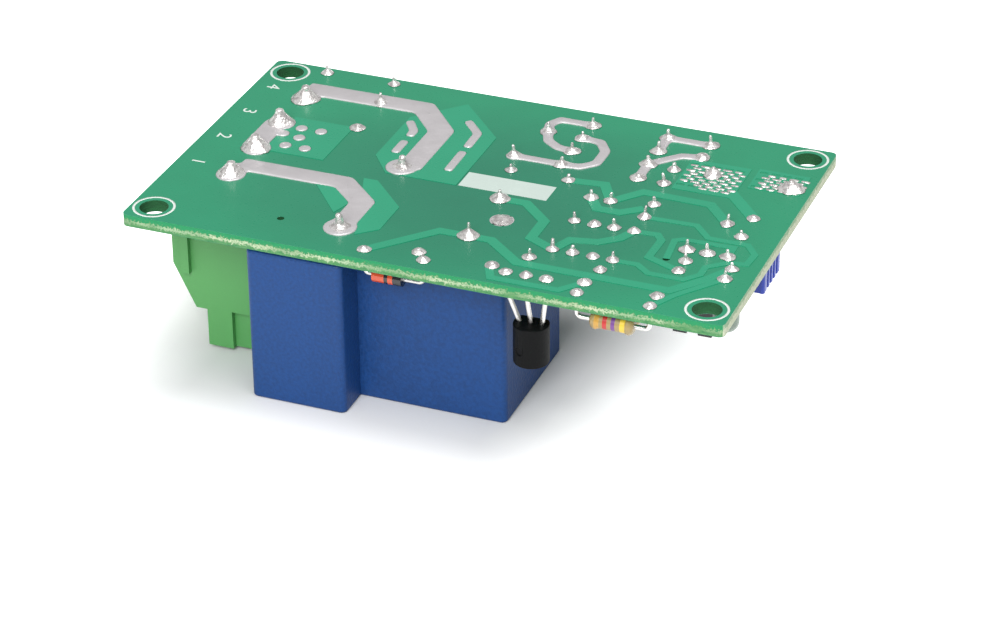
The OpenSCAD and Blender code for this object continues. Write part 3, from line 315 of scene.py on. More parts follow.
def sawn_walls(f):
    """Sawn glass fibre on the edges, hole walls painted a dark green as painted shade, and its
    burrs.

    The edge is green at its upper lip and torn pale below it, and the right end is cream.
    """
    plies, burr = f.noise(0.5, 3.0, (0.35, 0.35, 4.0)), f.noise(0.28, 4.0)
    chip = f.noise(1.1, 5.0, (1.0, 1.0, 0.4))
    deep = (TOP - f.z) / (TOP - UNDER) + (chip - 0.5) * 0.5 + (burr - 0.5) * 0.9
    lip = ((0.45 - deep) * 6.0).clamp()
    torn = (1 - abs(deep - 0.58) * 5.0).clamp() * (f.noise(5.0, 2.0) * 3.0 - 0.9).clamp()
    fibre = (plies * 1.5 - 0.4 + (burr - 0.5)).clamp()
    sawn = f.mix(fibre, tint(48, 122, 74), tint(116, 168, 108))
    sawn = f.mix(lip, sawn, tint(36, 142, 90))
    pale = f.mix(f.noise(12.0, 2.0), tint(186, 224, 186), tint(234, 224, 194))
    sawn = f.mix(torn * 0.85, sawn, pale)
    right_end = (f.x > BOARD_HIGH[0] - END_BAND) * (1 - lip * 0.5)
    sawn = f.mix(right_end, sawn, f.mix(burr, tint(170, 184, 146), tint(228, 230, 210)))
    # Painted shade: the walls of the holes are painted a very dark green.
    hole = f.mix(plies, tint(6, 50, 24), tint(26, 104, 54))
    outer = (abs(f.x) > BOARD_HIGH[0] - EDGE_BAND).high(abs(f.y) > BOARD_HIGH[1] - EDGE_BAND)
    return f.mix(outer, hole, sawn), burr


def laminate(name, colour):
    """The bare board: lacquer above and below with a painted shade of deeper green round its
    middle, and sawn walls.
    """
    f = Finish(name, Coat_Roughness=0.12)
    flat = (f.z > TOP - FACE_FILM).high(f.z < UNDER + FACE_FILM)
    drift, dust = f.noise(9.0, 3.0), f.noise(0.35, 3.0)
    green, weave = woven(f, colour, drift)
    # Painted shade: the board's faces are painted a deeper green in a soft pool round the middle of
    # the board.
    off_x, off_y = (f.x - SHADE_POOL_AT[0]) / SHADE_POOL_REACH[0], (f.y - SHADE_POOL_AT[1]) / SHADE_POOL_REACH[1]
    painted_shade_pool = (1 - off_x * off_x - off_y * off_y).clamp()
    green = f.mix(painted_shade_pool * 0.9, green, f.mix(drift, tint(28, 112, 86), tint(31, 124, 95)))
    wall, burr = sawn_walls(f)
    f.put("Base Color", f.mix(flat, wall, green))
    f.put("Roughness", flat * (0.3 + (dust - 0.5) * 0.16) + (1 - flat) * 0.85)
    f.put("Coat Weight", flat * 0.25)
    f.bump(flat * (drift * 0.3 + weave * 0.03 + dust * 0.06) + (1 - flat) * burr, 0.06)
    return f.material


def banded(name, centre, length, ground, bands, roughness):
    """Enamel with painted bands along X: each band is a place, a width and a colour."""
    f = Finish(name, Coat_Weight=0.3, Coat_Roughness=0.1)
    along = (f.x - centre) / length + (f.noise(1.4, 2.0) - 0.5) * 0.02
    clouds = f.noise(1.1, 4.0)
    paint = f.mix(clouds, dim(ground, 0.88), dim(ground, 1.1))
    for place, width, colour in bands:
        paint = f.mix(abs(along - place) < width / 2, paint, colour)
    f.put("Base Color", paint)
    f.put("Roughness", roughness + (clouds - 0.5) * 0.2)
    f.bump(clouds, 0.02)
    return f.material


def wound(name, colour):
    """Enamelled wire laid turn beside turn along X, with painted shade in the creases between
    turns.
    """
    f = Finish(name, Coat_Weight=0.4, Coat_Roughness=0.15)
    turns = f.waves(f.x + f.noise(3.0) * (0.1 * MM), WIRE_MM) * 0.5 + 0.5
    f.put("Metallic", 0.4 + turns * 0.4)
    # Painted shade: the wire is painted darker in the creases between turns.
    f.put("Base Color", f.mix(turns, dim(colour, 0.45), colour))
    f.put("Roughness", 0.3 + f.noise(1.5) * 0.15)
    f.bump(turns, 0.05)
    return f.material


def sleeved(name, node):
    """A can in a dark shrunk sleeve with a pale stripe down one side, its end bare aluminium."""
    low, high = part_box(node)
    radius = (high[0] - low[0]) / 2
    f = Finish(name, Coat_Weight=0.3, Coat_Roughness=0.2)
    across, along = f.x - (low[0] + high[0]) / 2, f.y - (low[1] + high[1]) / 2
    out = (across * across + along * along) ** 0.5
    bare = (out < radius - CAN_LIP) * (f.z < low[2] + CAN_END)
    stripe = (along > radius * STRIPE_FROM) * (1 - bare)
    dash = stripe * (abs(across) < DASH_WIDTH / 2) * ((f.z / DASH_PITCH) % 1.0 > DASH_GAP)
    crinkle = f.noise(1.6, 3.0, (1.0, 1.0, 0.3))
    paint = f.mix(crinkle, tint(16, 18, 30), tint(26, 30, 46))
    paint = f.mix(stripe, paint, tint(172, 178, 184))
    paint = f.mix(dash, paint, tint(24, 26, 38))
    f.put("Base Color", f.mix(bare, paint, tint(198, 200, 202)))
    f.put("Metallic", bare)
    f.put("Roughness", 0.32 + (crinkle - 0.5) * 0.2)
    f.bump(crinkle, 0.04)
    return f.material


BLACK = tint(24, 25, 27)
board_green = laminate("board_laminate", tint(32, 142, 103))
track_green = lacquered("lacquer_over_copper", tint(36, 152, 114))
tinned = metal("tinned_copper", tint(208, 204, 206), 0.42, ripple_mm=1.3, depth_mm=0.09,
               tarnish=0.1, metallic=0.4)
lead_wire = metal("lead_wire", tint(205, 203, 200), 0.3, ripple_mm=0.5, depth_mm=0.012)
bright_solder = soldered("bright_solder")
relay_blue = moulded("relay_blue", tint(20, 63, 120), 0.5, grain_mm=0.42, depth_mm=0.06,
                     cloud=0.13, speck=2.6, Specular_IOR_Level=0.3)
base_blue = moulded("relay_base_blue", tint(22, 46, 96), 0.5)
terminal_green = moulded("terminal_green", tint(82, 154, 85), 0.46, grain_mm=0.25,
                         depth_mm=0.01, cloud=0.07)
brass = metal("terminal_brass", tint(206, 170, 96), 0.34)
zinc = metal("zinc_plate", tint(196, 198, 202), 0.32, ripple_mm=0.6, depth_mm=0.015)
iron = metal("soft_iron", tint(150, 150, 152), 0.45)
bronze = metal("spring_bronze", tint(196, 140, 84), 0.35)
silver = metal("contact_silver", tint(226, 226, 222), 0.25)
gilt = metal("gold_flash", tint(222, 182, 96), 0.28)
ivory = moulded("bobbin_ivory", tint(224, 216, 192), 0.5)
winding = wound("enamelled_wire", tint(188, 98, 52))
black_case = moulded("black_epoxy", tint(5, 6, 7), 0.56, depth_mm=0.03, cloud=0.2,
                     Specular_IOR_Level=0.12)
black_shell = moulded("black_shell", tint(18, 18, 20), 0.4, depth_mm=0.006, cloud=0.2)
trimmer_blue = moulded("trimmer_blue", tint(20, 58, 176), 0.4)
rotor_white = moulded("rotor_white", tint(228, 226, 216), 0.45)
ceramic = moulded("dipped_ceramic", tint(196, 112, 48), 0.5, grain_mm=0.9, depth_mm=0.05,
                  cloud=0.15)
film_box = moulded("film_box", tint(222, 178, 60), 0.4)
varistor_blue = moulded("varistor_epoxy", tint(40, 84, 160), 0.5, grain_mm=0.9, depth_mm=0.05,
                        cloud=0.12)
clear_lens = moulded("led_epoxy", tint(160, 180, 164), 0.16, grain_mm=0.6, depth_mm=0.004,
                     cloud=0.04, Transmission_Weight=0.35, IOR=1.5)
print_white = moulded("legend_white", tint(218, 226, 220), 0.55, grain_mm=0.2, depth_mm=0.01,
                      cloud=0.06)
plate_white = moulded("thin_legend_white", tint(194, 208, 201), 0.5, grain_mm=0.25)


# Meshes

WELD, FINE_WELD = 0.002 * MM, 0.001 * MM
SAME_PLANE, OUTER_EDGE = math.radians(0.4), math.radians(40)
LONG_EDGE = 4
NO_LENGTH = 0.001
PLAIN_SHARP, MOULDED_SHARP, WIRE_SHARP, TIN_SHARP = 30, 32, 40, 50


def piece(name, mesh, body, material, replaced=()):
    """A finished piece: its place is in its mesh, and it rides on one body."""
    obj = bpy.data.objects.new(name, mesh)
    bpy.context.collection.objects.link(obj)
    mesh.materials.clear()
    mesh.materials.append(material)
    for node in replaced:
        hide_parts(node)
    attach(obj, body)


def plain_mesh(obj):
    """The evaluated object as a plain mesh, with the object itself removed."""
    graph = bpy.context.evaluated_depsgraph_get()
    mesh = bpy.data.meshes.new_from_object(obj.evaluated_get(graph))
    bpy.data.objects.remove(obj)
    return mesh


def settled(work, name, sharp_angle):
    """The mesh of a bmesh, smooth but for its sharp edges."""
    mesh = bpy.data.meshes.new(name)
    work.to_mesh(mesh)
    work.free()
    mesh.shade_smooth()
    mesh.set_sharp_from_angle(angle=math.radians(sharp_angle))
    return mesh


def merged(node, flatten=True):
    """A welded copy of a CAD node's mesh, with the triangles of a flat face joined if wanted."""
    work = bmesh.new()
    work.from_mesh(NODES[node].data)
    bmesh.ops.remove_doubles(work, verts=work.verts, dist=WELD)
    if flatten:
        bmesh.ops.dissolve_limit(work, angle_limit=SAME_PLANE, verts=work.verts, edges=work.edges)
    return work


def softened(node, width_mm, material, segments=2, curved=False):
    """A CAD node with its long outer edges rounded off, or all of them on a curved outline."""
    work = merged(node)
    if not curved:
        bmesh.ops.connect_verts_concave(work, faces=work.faces)
    weight = work.edges.layers.float.new("bevel_weight_edge")
    for edge in work.edges:
        outer = edge.is_convex and edge.calc_face_angle(0.0) > OUTER_EDGE
        if outer and (curved or edge.calc_length() > LONG_EDGE * width_mm * MM):
            edge[weight] = 1.0
    obj = bpy.data.objects.new("rounding", settled(work, node, MOULDED_SHARP))
    bpy.context.collection.objects.link(obj)
    bevel = obj.modifiers.new("edges", "BEVEL")
    bevel.width = width_mm * MM
    bevel.segments = segments
    bevel.limit_method = "WEIGHT"
    bevel.use_clamp_overlap = False
    even = obj.modifiers.new("even", "WEIGHTED_NORMAL")
    even.keep_sharp = True
    piece(node + "_rounded", plain_mesh(obj), BODY_OF[node], material, [node])


def islands(node):
    """The separate solids of a CAD node, each as a list of points."""
    work = merged(node)
    left = set(work.verts)
    groups = []
    while left:
        stack, group = [left.pop()], []
        while stack:
            vert = stack.pop()
            group.append(vert.co.copy())
            for edge in vert.link_edges:
                other = edge.other_vert(vert)
                if other in left:
                    left.remove(other)
                    stack.append(other)
        groups.append(group)
    work.free()
    return groups


# Camera, at the photograph's angle

PHOTO_WIDTH = 1000
FOCAL_PX = 3321.17
AZIMUTH, ELEVATION, ROLL = 21.663, 30.026, -0.5086
SHIFT_RIGHT, SHIFT_UP, DISTANCE = -1.7055, -3.7649, 421.42
SENSOR = 36.0
CLIP_NEAR, CLIP_FAR = 0.01, 20


def direction(azimuth, elevation):
    """The way from the object to a viewer or lamp, with azimuth 0 at the near side."""
    az, el = math.radians(azimuth), math.radians(elevation)
    return Vector((math.sin(az) * math.cos(el), -math.cos(az) * math.cos(el), math.sin(el)))


def photo_camera():
    """The camera that was fitted to the photograph, with its roll and its shift in mm."""
    az, roll = math.radians(AZIMUTH), math.radians(ROLL)
    back = direction(AZIMUTH, ELEVATION)
    level = Vector((math.cos(az), math.sin(az), 0))
    rise = back.cross(level)
    right = level * math.cos(roll) + rise * math.sin(roll)
    up = rise * math.cos(roll) - level * math.sin(roll)
    data = bpy.data.cameras.new("photo_camera")
    data.sensor_width = SENSOR
    data.lens = FOCAL_PX / PHOTO_WIDTH * SENSOR
    data.clip_start, data.clip_end = CLIP_NEAR, CLIP_FAR
    camera = bpy.data.objects.new("photo_camera", data)
    camera.matrix_world = Matrix((right, up, back)).transposed().to_4x4()
    camera.location = (back * DISTANCE - right * SHIFT_RIGHT - up * SHIFT_UP) * MM
    bpy.context.collection.objects.link(camera)
    bpy.context.scene.camera = camera


photo_camera()


# Studio: a pale floor with painted shade round the relay that fades to white away from it, two soft
# lamps and a pale room

LAMP_DISTANCE = 0.9
ROOM_LIGHT = 0.36
FLOOR_RADIUS, FLOOR_SIDES = 4.0, 96
# The floor's pale colour, and the darker colour of its painted shade round the relay
FLOOR_PALE, FLOOR_PAINTED_SHADE = tint(240, 240, 240), tint(217, 217, 218)
FADE_REACH, FADE_LEFT, FADE_RIGHT = 20 * MM, 8 * MM, 2 * MM
FADE_NEAR, FADE_FAR, FADE_POWER = 0.02, 0.92, 1.3


def lamp(name, azimuth, elevation, size, power):
    """A round area lamp that faces the object."""
    back = direction(azimuth, elevation)
    data = bpy.data.lights.new(name, "AREA")
    data.shape, data.size, data.energy = "DISK", size, power
    obj = bpy.data.objects.new(name, data)
    obj.location = back * LAMP_DISTANCE
    obj.rotation_mode = "QUATERNION"
    obj.rotation_quaternion = back.to_track_quat("Z", "Y")
    bpy.context.collection.objects.link(obj)


def pale_room():
    """An even white light from all round."""
    world = bpy.data.worlds.new("pale_room")
    world.use_nodes = True
    background = world.node_tree.nodes["Background"]
    background.inputs["Color"].default_value = (1.0, 1.0, 1.0, 1.0)
    background.inputs["Strength"].default_value = ROOM_LIGHT
    bpy.context.scene.world = world


def pale_floor():
    """A floor that keeps its shadow round the relay, deepened there by painted shade, and glows
    white away from it.
    """
    work = bmesh.new()
    bmesh.ops.create_circle(work, cap_ends=True, segments=FLOOR_SIDES, radius=FLOOR_RADIUS)
    mesh = settled(work, "floor", PLAIN_SHARP)
    floor = bpy.data.objects.new("floor", mesh)
    bpy.context.collection.objects.link(floor)
    f = Finish("pale_floor", Roughness=0.9, Emission_Strength=1.0)
    low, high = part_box("relay_cover")
    left, right = low[0] - FADE_LEFT, high[0] - FADE_RIGHT
    away_x = (abs(f.x - (left + right) / 2) - (right - left) / 2).high(0.0)
    away_y = (abs(f.y - (low[1] + high[1]) / 2) - (high[1] - low[1]) / 2).high(0.0)
    distance = (away_x * away_x + away_y * away_y) ** 0.5
    away = (distance / FADE_REACH).low(1.0) ** FADE_POWER
    glow = f.seen() * (FADE_NEAR + away * FADE_FAR)
    # Painted shade: to the camera and in reflections the floor is painted darker round the relay,
    # deepening its shadow there.
    f.put("Base Color", f.mix(f.seen() * (1 - away), FLOOR_PALE, FLOOR_PAINTED_SHADE))
    f.put("Emission Color", f.mix(glow, (0, 0, 0, 1), (1, 1, 1, 1)))
    mesh.materials.append(f.material)


lamp("key", azimuth=4, elevation=38, size=0.5, power=6.0)
lamp("overhead", azimuth=60, elevation=72, size=0.8, power=5.0)
pale_room()
pale_floor()
bpy.context.scene.view_settings.view_transform = "Standard"


# Solder: one fillet for each joint, turned from the same rule and leaning with its lead

BIG_PAD = 1.6 * MM
FLAT_DOT = 0.5 * MM
FLUSH_BAND, FLUSH_SHARE = 5.0 * MM, 0.22
LUMP_ROUND, LUMP_PLACE, LUMP_MEAN, LUMP_FADE = 1.1, 900.0, 0.55, 0.4
TIP_TAPER, TIP_POWER = 0.22, 7.0
LEAN_HEIGHT, LEAN_POWER = 2 * MM, 1.4
DASH_STEP, ROW_STEP, ROW_SHIFT = 1.44 * MM, 0.7 * MM, 0.62 * MM
HATCH_MARGIN, JOINT_CLEAR = 1.5, 0.8
BEAD_POWER, BEAD_SHORT, BEAD_LONG = 5.0, 0.8, 1.12
HATCHES = ({"low": (22.3 * MM, 7.9 * MM), "columns": 5, "rows": 9, "cut": 2, "joint": 1.25 * MM},
           {"low": (31.6 * MM, 10.5 * MM), "columns": 4, "rows": 6, "cut": 0, "joint": 1.75 * MM})


def hatch_under(place):
    """The hatched pad that a flat place lies on, if it lies on one."""
    for hatch in HATCHES:
        x, y = (place[k] - hatch["low"][k] + DASH_STEP for k in range(2))
        wide = (hatch["columns"] + HATCH_MARGIN) * DASH_STEP
        deep = hatch["rows"] * ROW_STEP + HATCH_MARGIN * DASH_STEP
        if 0 < x < wide and 0 < y < deep:
            return hatch
    return None


def solder_rule():
    """Each point becomes a fillet, hollow from its pad up to its lead, with a trimmed tip."""
    g = Rule("solder_fillet", {"Sides": 22, "Rings": 18, "Fillet Share": 0.6, "Lumps": 0.5})
    share = g.given["Fillet Share"]
    place = g.node("GeometryNodeInputPosition")
    tube = g.node("GeometryNodeMeshCylinder", {"fill_type": "NGON"},
                  {"Vertices": g.given["Sides"], "Side Segments": g.given["Rings"],
                   "Radius": 1.0, "Depth": 1.0})
    x, y, z = g.split(place)
    tube = g.stored(tube, "climb", "FLOAT", z + 0.5)
    tube = g.stored(tube, "ray", "FLOAT_VECTOR", g.joined(x, y, 0.0))
    laid = g.on_points(g.stored(g.given["Points"], "foot", "FLOAT_VECTOR", place), tube)
    real = g.node("GeometryNodeRealizeInstances", sockets={"Geometry": laid})
    climb, lead, pad = g.named("climb"), g.named("lead"), g.named("pad")
    ray, foot = g.named("ray", "FLOAT_VECTOR"), g.named("foot", "FLOAT_VECTOR")
    rise = (climb / share).clamp()
    tip = ((climb - share) / (1 - share)).clamp()
    spot = g.vector("ADD", g.scaled(ray, LUMP_ROUND), g.scaled(foot, LUMP_PLACE))
    lumps = g.node("ShaderNodeTexNoise", sockets={"Vector": spot, "Scale": 1.0, "Detail": 1.0})
    lumpy = g.given["Lumps"] * g.named("ragged") * (1 - rise * LUMP_FADE)
    uneven = 1 + (lumps - LUMP_MEAN) * lumpy
    taper = (1 - tip * TIP_TAPER) * (1 - tip ** TIP_POWER).high(0.0) ** 0.5
    radius = (lead + (pad - lead) * (1 - rise) ** g.named("hollow")) * uneven * taper
    height = g.named("tall") * rise + g.named("stub") * tip
    bent = g.scaled(g.named("lean", "FLOAT_VECTOR"), (height / LEAN_HEIGHT) ** LEAN_POWER)
    axis = g.vector("ADD", g.vector("ADD", foot, bent), g.joined(0.0, 0.0, height))
    skin = g.vector("ADD", axis, g.scaled(ray, radius))
    shaped = g.node("GeometryNodeSetPosition", sockets={"Geometry": real, "Position": skin})
    welded = g.node("GeometryNodeMergeByDistance",
                    sockets={"Geometry": shaped, "Distance": FINE_WELD})
    g.end(g.node("GeometryNodeSetShadeSmooth", sockets={"Geometry": welded}))
    return g


def joint_places():
    """Each CAD joint as its foot, pad radius and height, in a fixed order."""
    places = []
    for group in islands("solder_joints"):
        low = Vector(min(v[k] for v in group) for k in range(3))
        high = Vector(max(v[k] for v in group) for k in range(3))
        middle = (low + high) / 2
        places.append((Vector((middle.x, middle.y, low.z)), (high.x - low.x) / 2, high.z - low.z))
    return sorted(places, key=lambda place: (round(place[0].x, 5), round(place[0].y, 5)))


def joint_shape(foot, pad, tall):
    """A fillet's sizes by the kind of joint: its stub is the lead's end, its lean is sideways."""
    pick = random.uniform
    hatch = hatch_under(foot)
    if pad > BIG_PAD and foot.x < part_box("terminal_housing")[1][0]:
        return dict(pad=pad * 1.04, lead=0.6 * MM, tall=tall * pick(0.85, 1.0),
                    stub=pick(0.3, 0.6) * MM, hollow=pick(1.1, 1.6), ragged=1.2, lean=0.15 * MM)
    if pad > BIG_PAD:
        return dict(pad=pad * 0.97, lead=0.52 * MM, tall=tall * pick(0.45, 0.6),
                    stub=pick(0.9, 1.15) * MM, hollow=pick(2.4, 3.2), ragged=0.9, lean=0.15 * MM)
    if tall < FLAT_DOT:
        return dict(pad=pad * 0.98, lead=pad * 0.5, tall=tall * 0.6,
                    stub=0.03 * MM, hollow=1.0, ragged=0.2, lean=0.0)
    if hatch:
        return dict(pad=hatch["joint"], lead=0.3 * MM, tall=tall * 0.8,
                    stub=0.25 * MM, hollow=0.7, ragged=0.9, lean=0.2 * MM)
    wide = pad * pick(1.08, 1.22)
    if foot.y < BOARD_LOW[1] + FLUSH_BAND or pick(0, 1) < FLUSH_SHARE:
        return dict(pad=wide, lead=0.3 * MM, tall=tall * pick(0.4, 0.55),
                    stub=pick(0.04, 0.14) * MM, hollow=pick(0.5, 0.8), ragged=0.9, lean=0.05 * MM)
    return dict(pad=wide, lead=pick(0.2, 0.27) * MM, tall=tall * pick(0.5, 0.8),
                stub=pick(0.4, 0.95) * MM, hollow=pick(0.9, 1.5), ragged=1.0,
                lean=pick(0.05, 0.35) * MM)


def solder_joints(places):
    """A fillet on each CAD joint, with its own sizes, leaning its own way."""
    mesh = bpy.data.meshes.new("joint_points")
    mesh.from_pydata([place[0] for place in places], [], [])
    shapes, leans = [], []
    for place in places:
        angle = random.uniform(0, 2 * math.pi)
        shapes.append(joint_shape(*place))
        lean = shapes[-1].pop("lean")
        leans += [math.cos(angle) * lean, math.sin(angle) * lean, 0.0]
    for name in shapes[0]:
        values = [shape[name] for shape in shapes]
        mesh.attributes.new(name, "FLOAT", "POINT").data.foreach_set("value", values)
    mesh.attributes.new("lean", "FLOAT_VECTOR", "POINT").data.foreach_set("vector", leans)
    fillets = solder_rule().grow(mesh, Sides=24, Rings=20, Finish=bright_solder)
    piece("solder_fillets", fillets, "module", bright_solder,
          ["solder_joints"])


def dash_rule():
    """Each point becomes a short bead of solder that lies along X."""
    g = Rule("solder_dash",
             {"Length": 1.22 * MM, "Width": 0.54 * MM, "Height": 0.14 * MM, "Seed": 5})
    length, width, height = (g.given[key] for key in ("Length", "Width", "Height"))
    x, y, z = g.split(g.node("GeometryNodeInputPosition"))
    ball = g.node("GeometryNodeMeshUVSphere", sockets={"Segments": 10, "Rings": 8, "Radius": 1.0})
    out = ((x * x + y * y) ** 0.5).high(NO_LENGTH)
    fuller = (1 - abs(z) ** BEAD_POWER).high(0.0) ** 0.5 / out
    spot = g.joined(z * length / 2, x * fuller * width / 2, y * fuller * height)
    bead = g.node("GeometryNodeSetPosition", sockets={"Geometry": ball, "Position": spot})
    uneven = g.node("FunctionNodeRandomValue", {"data_type": "FLOAT"},
                    {2: BEAD_SHORT, 3: BEAD_LONG, "Seed": g.given["Seed"]}, out=1)
    laid = g.on_points(g.given["Points"], bead, Scale=g.joined(uneven, 1.0, 1.0))
    g.end(g.node("GeometryNodeSetShadeSmooth", sockets={"Geometry": laid}))
    return g


def hatch_beads():
    """Rows of beads on the hatched pads, left out where a fillet stands."""
    spots = []
    for hatch in HATCHES:
        left, near = hatch["low"]
        feet = [foot for foot, *_ in JOINTS if hatch_under(foot) is hatch]
        clear = hatch["joint"] * JOINT_CLEAR
        for row in range(hatch["rows"]):
            start = left + row % 2 * ROW_SHIFT + DASH_STEP / 3
            for column in range(max(0, hatch["cut"] - row), hatch["columns"]):
                spot = Vector((start + column * DASH_STEP, near + row * ROW_STEP, TOP))
                if all((foot.xy - spot.xy).length > clear for foot in feet):
                    spots.append(spot)
    mesh = bpy.data.meshes.new("dash_points")
    mesh.from_pydata(spots, [], [])
    beads = dash_rule().grow(mesh, Finish=bright_solder)
    piece("hatch_beads", beads, "module", bright_solder)


JOINTS = joint_places()
solder_joints(JOINTS)
hatch_beads()


# Solder lying on the bare tracks

TIN_DOME = ((0.0, 0.0), (0.0, 0.08), (0.04, 0.14), (0.12, 0.19), (0.25, 0.22))
SMALL_PAD_GIRTH = 2 * math.pi * 1.4 * MM
PAD_MATCH = 0.2 * MM
UPWARD = 0.9
LEAST_POINTS = 24
BROAD_TRACK, FINE_SHARE = 0.9 * MM, 0.9
FINE_DRAW, BROAD_DRAW = (0.1 * MM, 3), (0.22 * MM, 5)


def outer_loops(node):
    """The outlines of a node's upward faces, without the holes in them, as lists of flat points."""
    work = merged(node, flatten=False)
    work.verts.index_update()
    follow = {}
    for face in work.faces:
        if face.normal.z > UPWARD:
            for loop in face.loops:
                beside = [other for other in loop.edge.link_faces if other is not face]
                if not any(other.normal.z > UPWARD for other in beside):
                    follow[loop.vert.index] = loop.link_loop_next.vert.index
    places = [v.co.xy.copy() for v in work.verts]
    work.free()
    loops = []
    while follow:
        first, at = follow.popitem()
        loop = [places[first]]
        while at in follow:
            loop.append(places[at])
            at = follow.pop(at)
        if len(loop) > 2 and enclosed(loop) > 0:
            loops.append(loop)
    return sorted(loops, key=lambda loop: (loop[0].x, loop[0].y))


def enclosed(loop):
    """The area inside a closed outline, negative where the outline runs clockwise."""
    return sum(p.x * q.y - q.x * p.y for p, q in zip(loop, loop[1:] + loop[:1])) / 2


def girth(loop):
    """The length of a closed outline."""
    return sum((q - p).length for p, q in zip(loop, loop[1:] + loop[:1]))


def drawn_round(loop, step, rounds):
    """A closed outline in even steps, its corners drawn round as wet solder draws them."""
    count = max(LEAST_POINTS, round(girth(loop) / step))
    spacing = girth(loop) / count
    points, travelled, due = [], 0.0, 0.0
    for p, q in zip(loop, loop[1:] + loop[:1]):
        length = (q - p).length
        while due < travelled + length and len(points) < count:
            points.append(p.lerp(q, (due - travelled) / length))
            due += spacing
        travelled += length
    for _ in range(rounds):
        points = [a * 0.25 + b * 0.5 + c * 0.25
                  for a, b, c in zip(points[-1:] + points[:-1], points, points[1:] + points[:1])]
    return points


def shrunk(loop, amount):
    """A closed outline moved inwards by an amount."""
    moved = []
    for before, point, after in zip(loop[-1:] + loop[:-1], loop, loop[1:] + loop[:1]):
        a, b = (point - before).normalized(), (after - point).normalized()
        inward = Vector((-a.y - b.y, a.x + b.x))
        if inward.length < NO_LENGTH:
            inward = Vector((-a.y, a.x))
        moved.append(point + inward.normalized() * amount)
    return moved


def drawn_elsewhere(loop):
    """Whether an outline is only the pad under one fillet, or a dash of a hatched pad."""
    middle = sum(loop, Vector((0, 0))) / len(loop)
    under = any((foot.xy - middle).length < PAD_MATCH for foot, *_ in JOINTS)
    return under and girth(loop) < SMALL_PAD_GIRTH or hatch_under(middle) is not None


def tin_coat():
    """Each bare track with its corners drawn round and its edges domed by the solder on it."""
    work = bmesh.new()
    for loop in outer_loops("tinned_tracks"):
        if drawn_elsewhere(loop):
            continue
        slim = min(1.0, 2 * enclosed(loop) / girth(loop) / BROAD_TRACK)
        fine = slim < FINE_SHARE
        loop = drawn_round(loop, *(FINE_DRAW if fine else BROAD_DRAW))
        rings = []
        for inset, lift in TIN_DOME[:2] if fine else TIN_DOME:
            flat = shrunk(loop, inset * slim ** 2 * MM)
            rings.append([work.verts.new((p.x, p.y, TOP + lift * slim * MM)) for p in flat])
        for low, high in zip(rings, rings[1:]):
            for k in range(len(low)):
                n = (k + 1) % len(low)
                work.faces.new((low[k], low[n], high[n], high[k]))
        work.faces.new(rings[0][::-1])
        work.faces.new(rings[-1])
    piece("tin_coat", settled(work, "tin_coat", TIN_SHARP), "module",
          tinned, ["tinned_tracks"])


tin_coat()


# White print on the lacquer: rings round the mounting holes, a bare plate and plain pole numbers

PRINT_LIFT, PRINT_DEEP = 0.004 * MM, 0.02 * MM
PRINT_AT = TOP + PRINT_LIFT + PRINT_DEEP / 2
RING_GAP_MM = 0.7
PLATE_LOW, PLATE_HIGH = (-2.87 * MM, -1.72 * MM), (8.73 * MM, 2.01 * MM)
NUMBER_SIZE = 2.6 * MM
NUMBER_AT = (2.7 * MM, 1.8 * MM)


def printed(name, mesh, material):
    """A piece of print, which rides on the module."""
    piece(name, mesh, "module", material)


def print_plate():
    """A thin bare plate of print."""
    work = bmesh.new()
    bmesh.ops.create_cube(work, size=1.0)
    size = Vector((PLATE_HIGH[0] - PLATE_LOW[0], PLATE_HIGH[1] - PLATE_LOW[1], PRINT_DEEP))
    x, y = ((low + high) / 2 for low, high in zip(PLATE_LOW, PLATE_HIGH))
    middle = Vector((x, y, PRINT_AT))
    place = Matrix.Translation(middle) @ Matrix.Diagonal(size).to_4x4()
    bmesh.ops.transform(work, verts=work.verts, matrix=place)
    printed("print_plate", settled(work, "print_plate", PLAIN_SHARP), plate_white)


def ring_rule():
    """A flat printed ring round each point."""
    g = Rule("print_ring", {"Radius": 2.5 * MM, "Line": 0.32 * MM, "Ink": PRINT_DEEP})
    path = g.node("GeometryNodeCurvePrimitiveCircle", {"mode": "RADIUS"},
                  {"Resolution": 64, "Radius": g.given["Radius"]})
    section = g.node("GeometryNodeCurvePrimitiveQuadrilateral",
                     sockets={"Width": g.given["Line"], "Height": g.given["Ink"]})
    ring = g.node("GeometryNodeCurveToMesh", sockets={"Curve": path, "Profile Curve": section})
    g.end(g.on_points(g.given["Points"], ring))
    return g


def print_rings():
    """A ring round each of the four mounting holes."""
    holes = next(mount for mount in RECORD["mounts"] if mount["name"] == "board_holes")["dims"]
    reach = [holes[key] / 2 * MM for key in ("spacing_x_mm", "spacing_y_mm")]
    spots = [(sx * reach[0], sy * reach[1], PRINT_AT) for sx in (-1, 1) for sy in (-1, 1)]
    mesh = bpy.data.meshes.new("hole_points")
    mesh.from_pydata(spots, [], [])
    radius = (holes["hole_r_mm"] + RING_GAP_MM) * MM
    printed("print_rings", ring_rule().grow(mesh, Radius=radius, Finish=print_white), print_white)


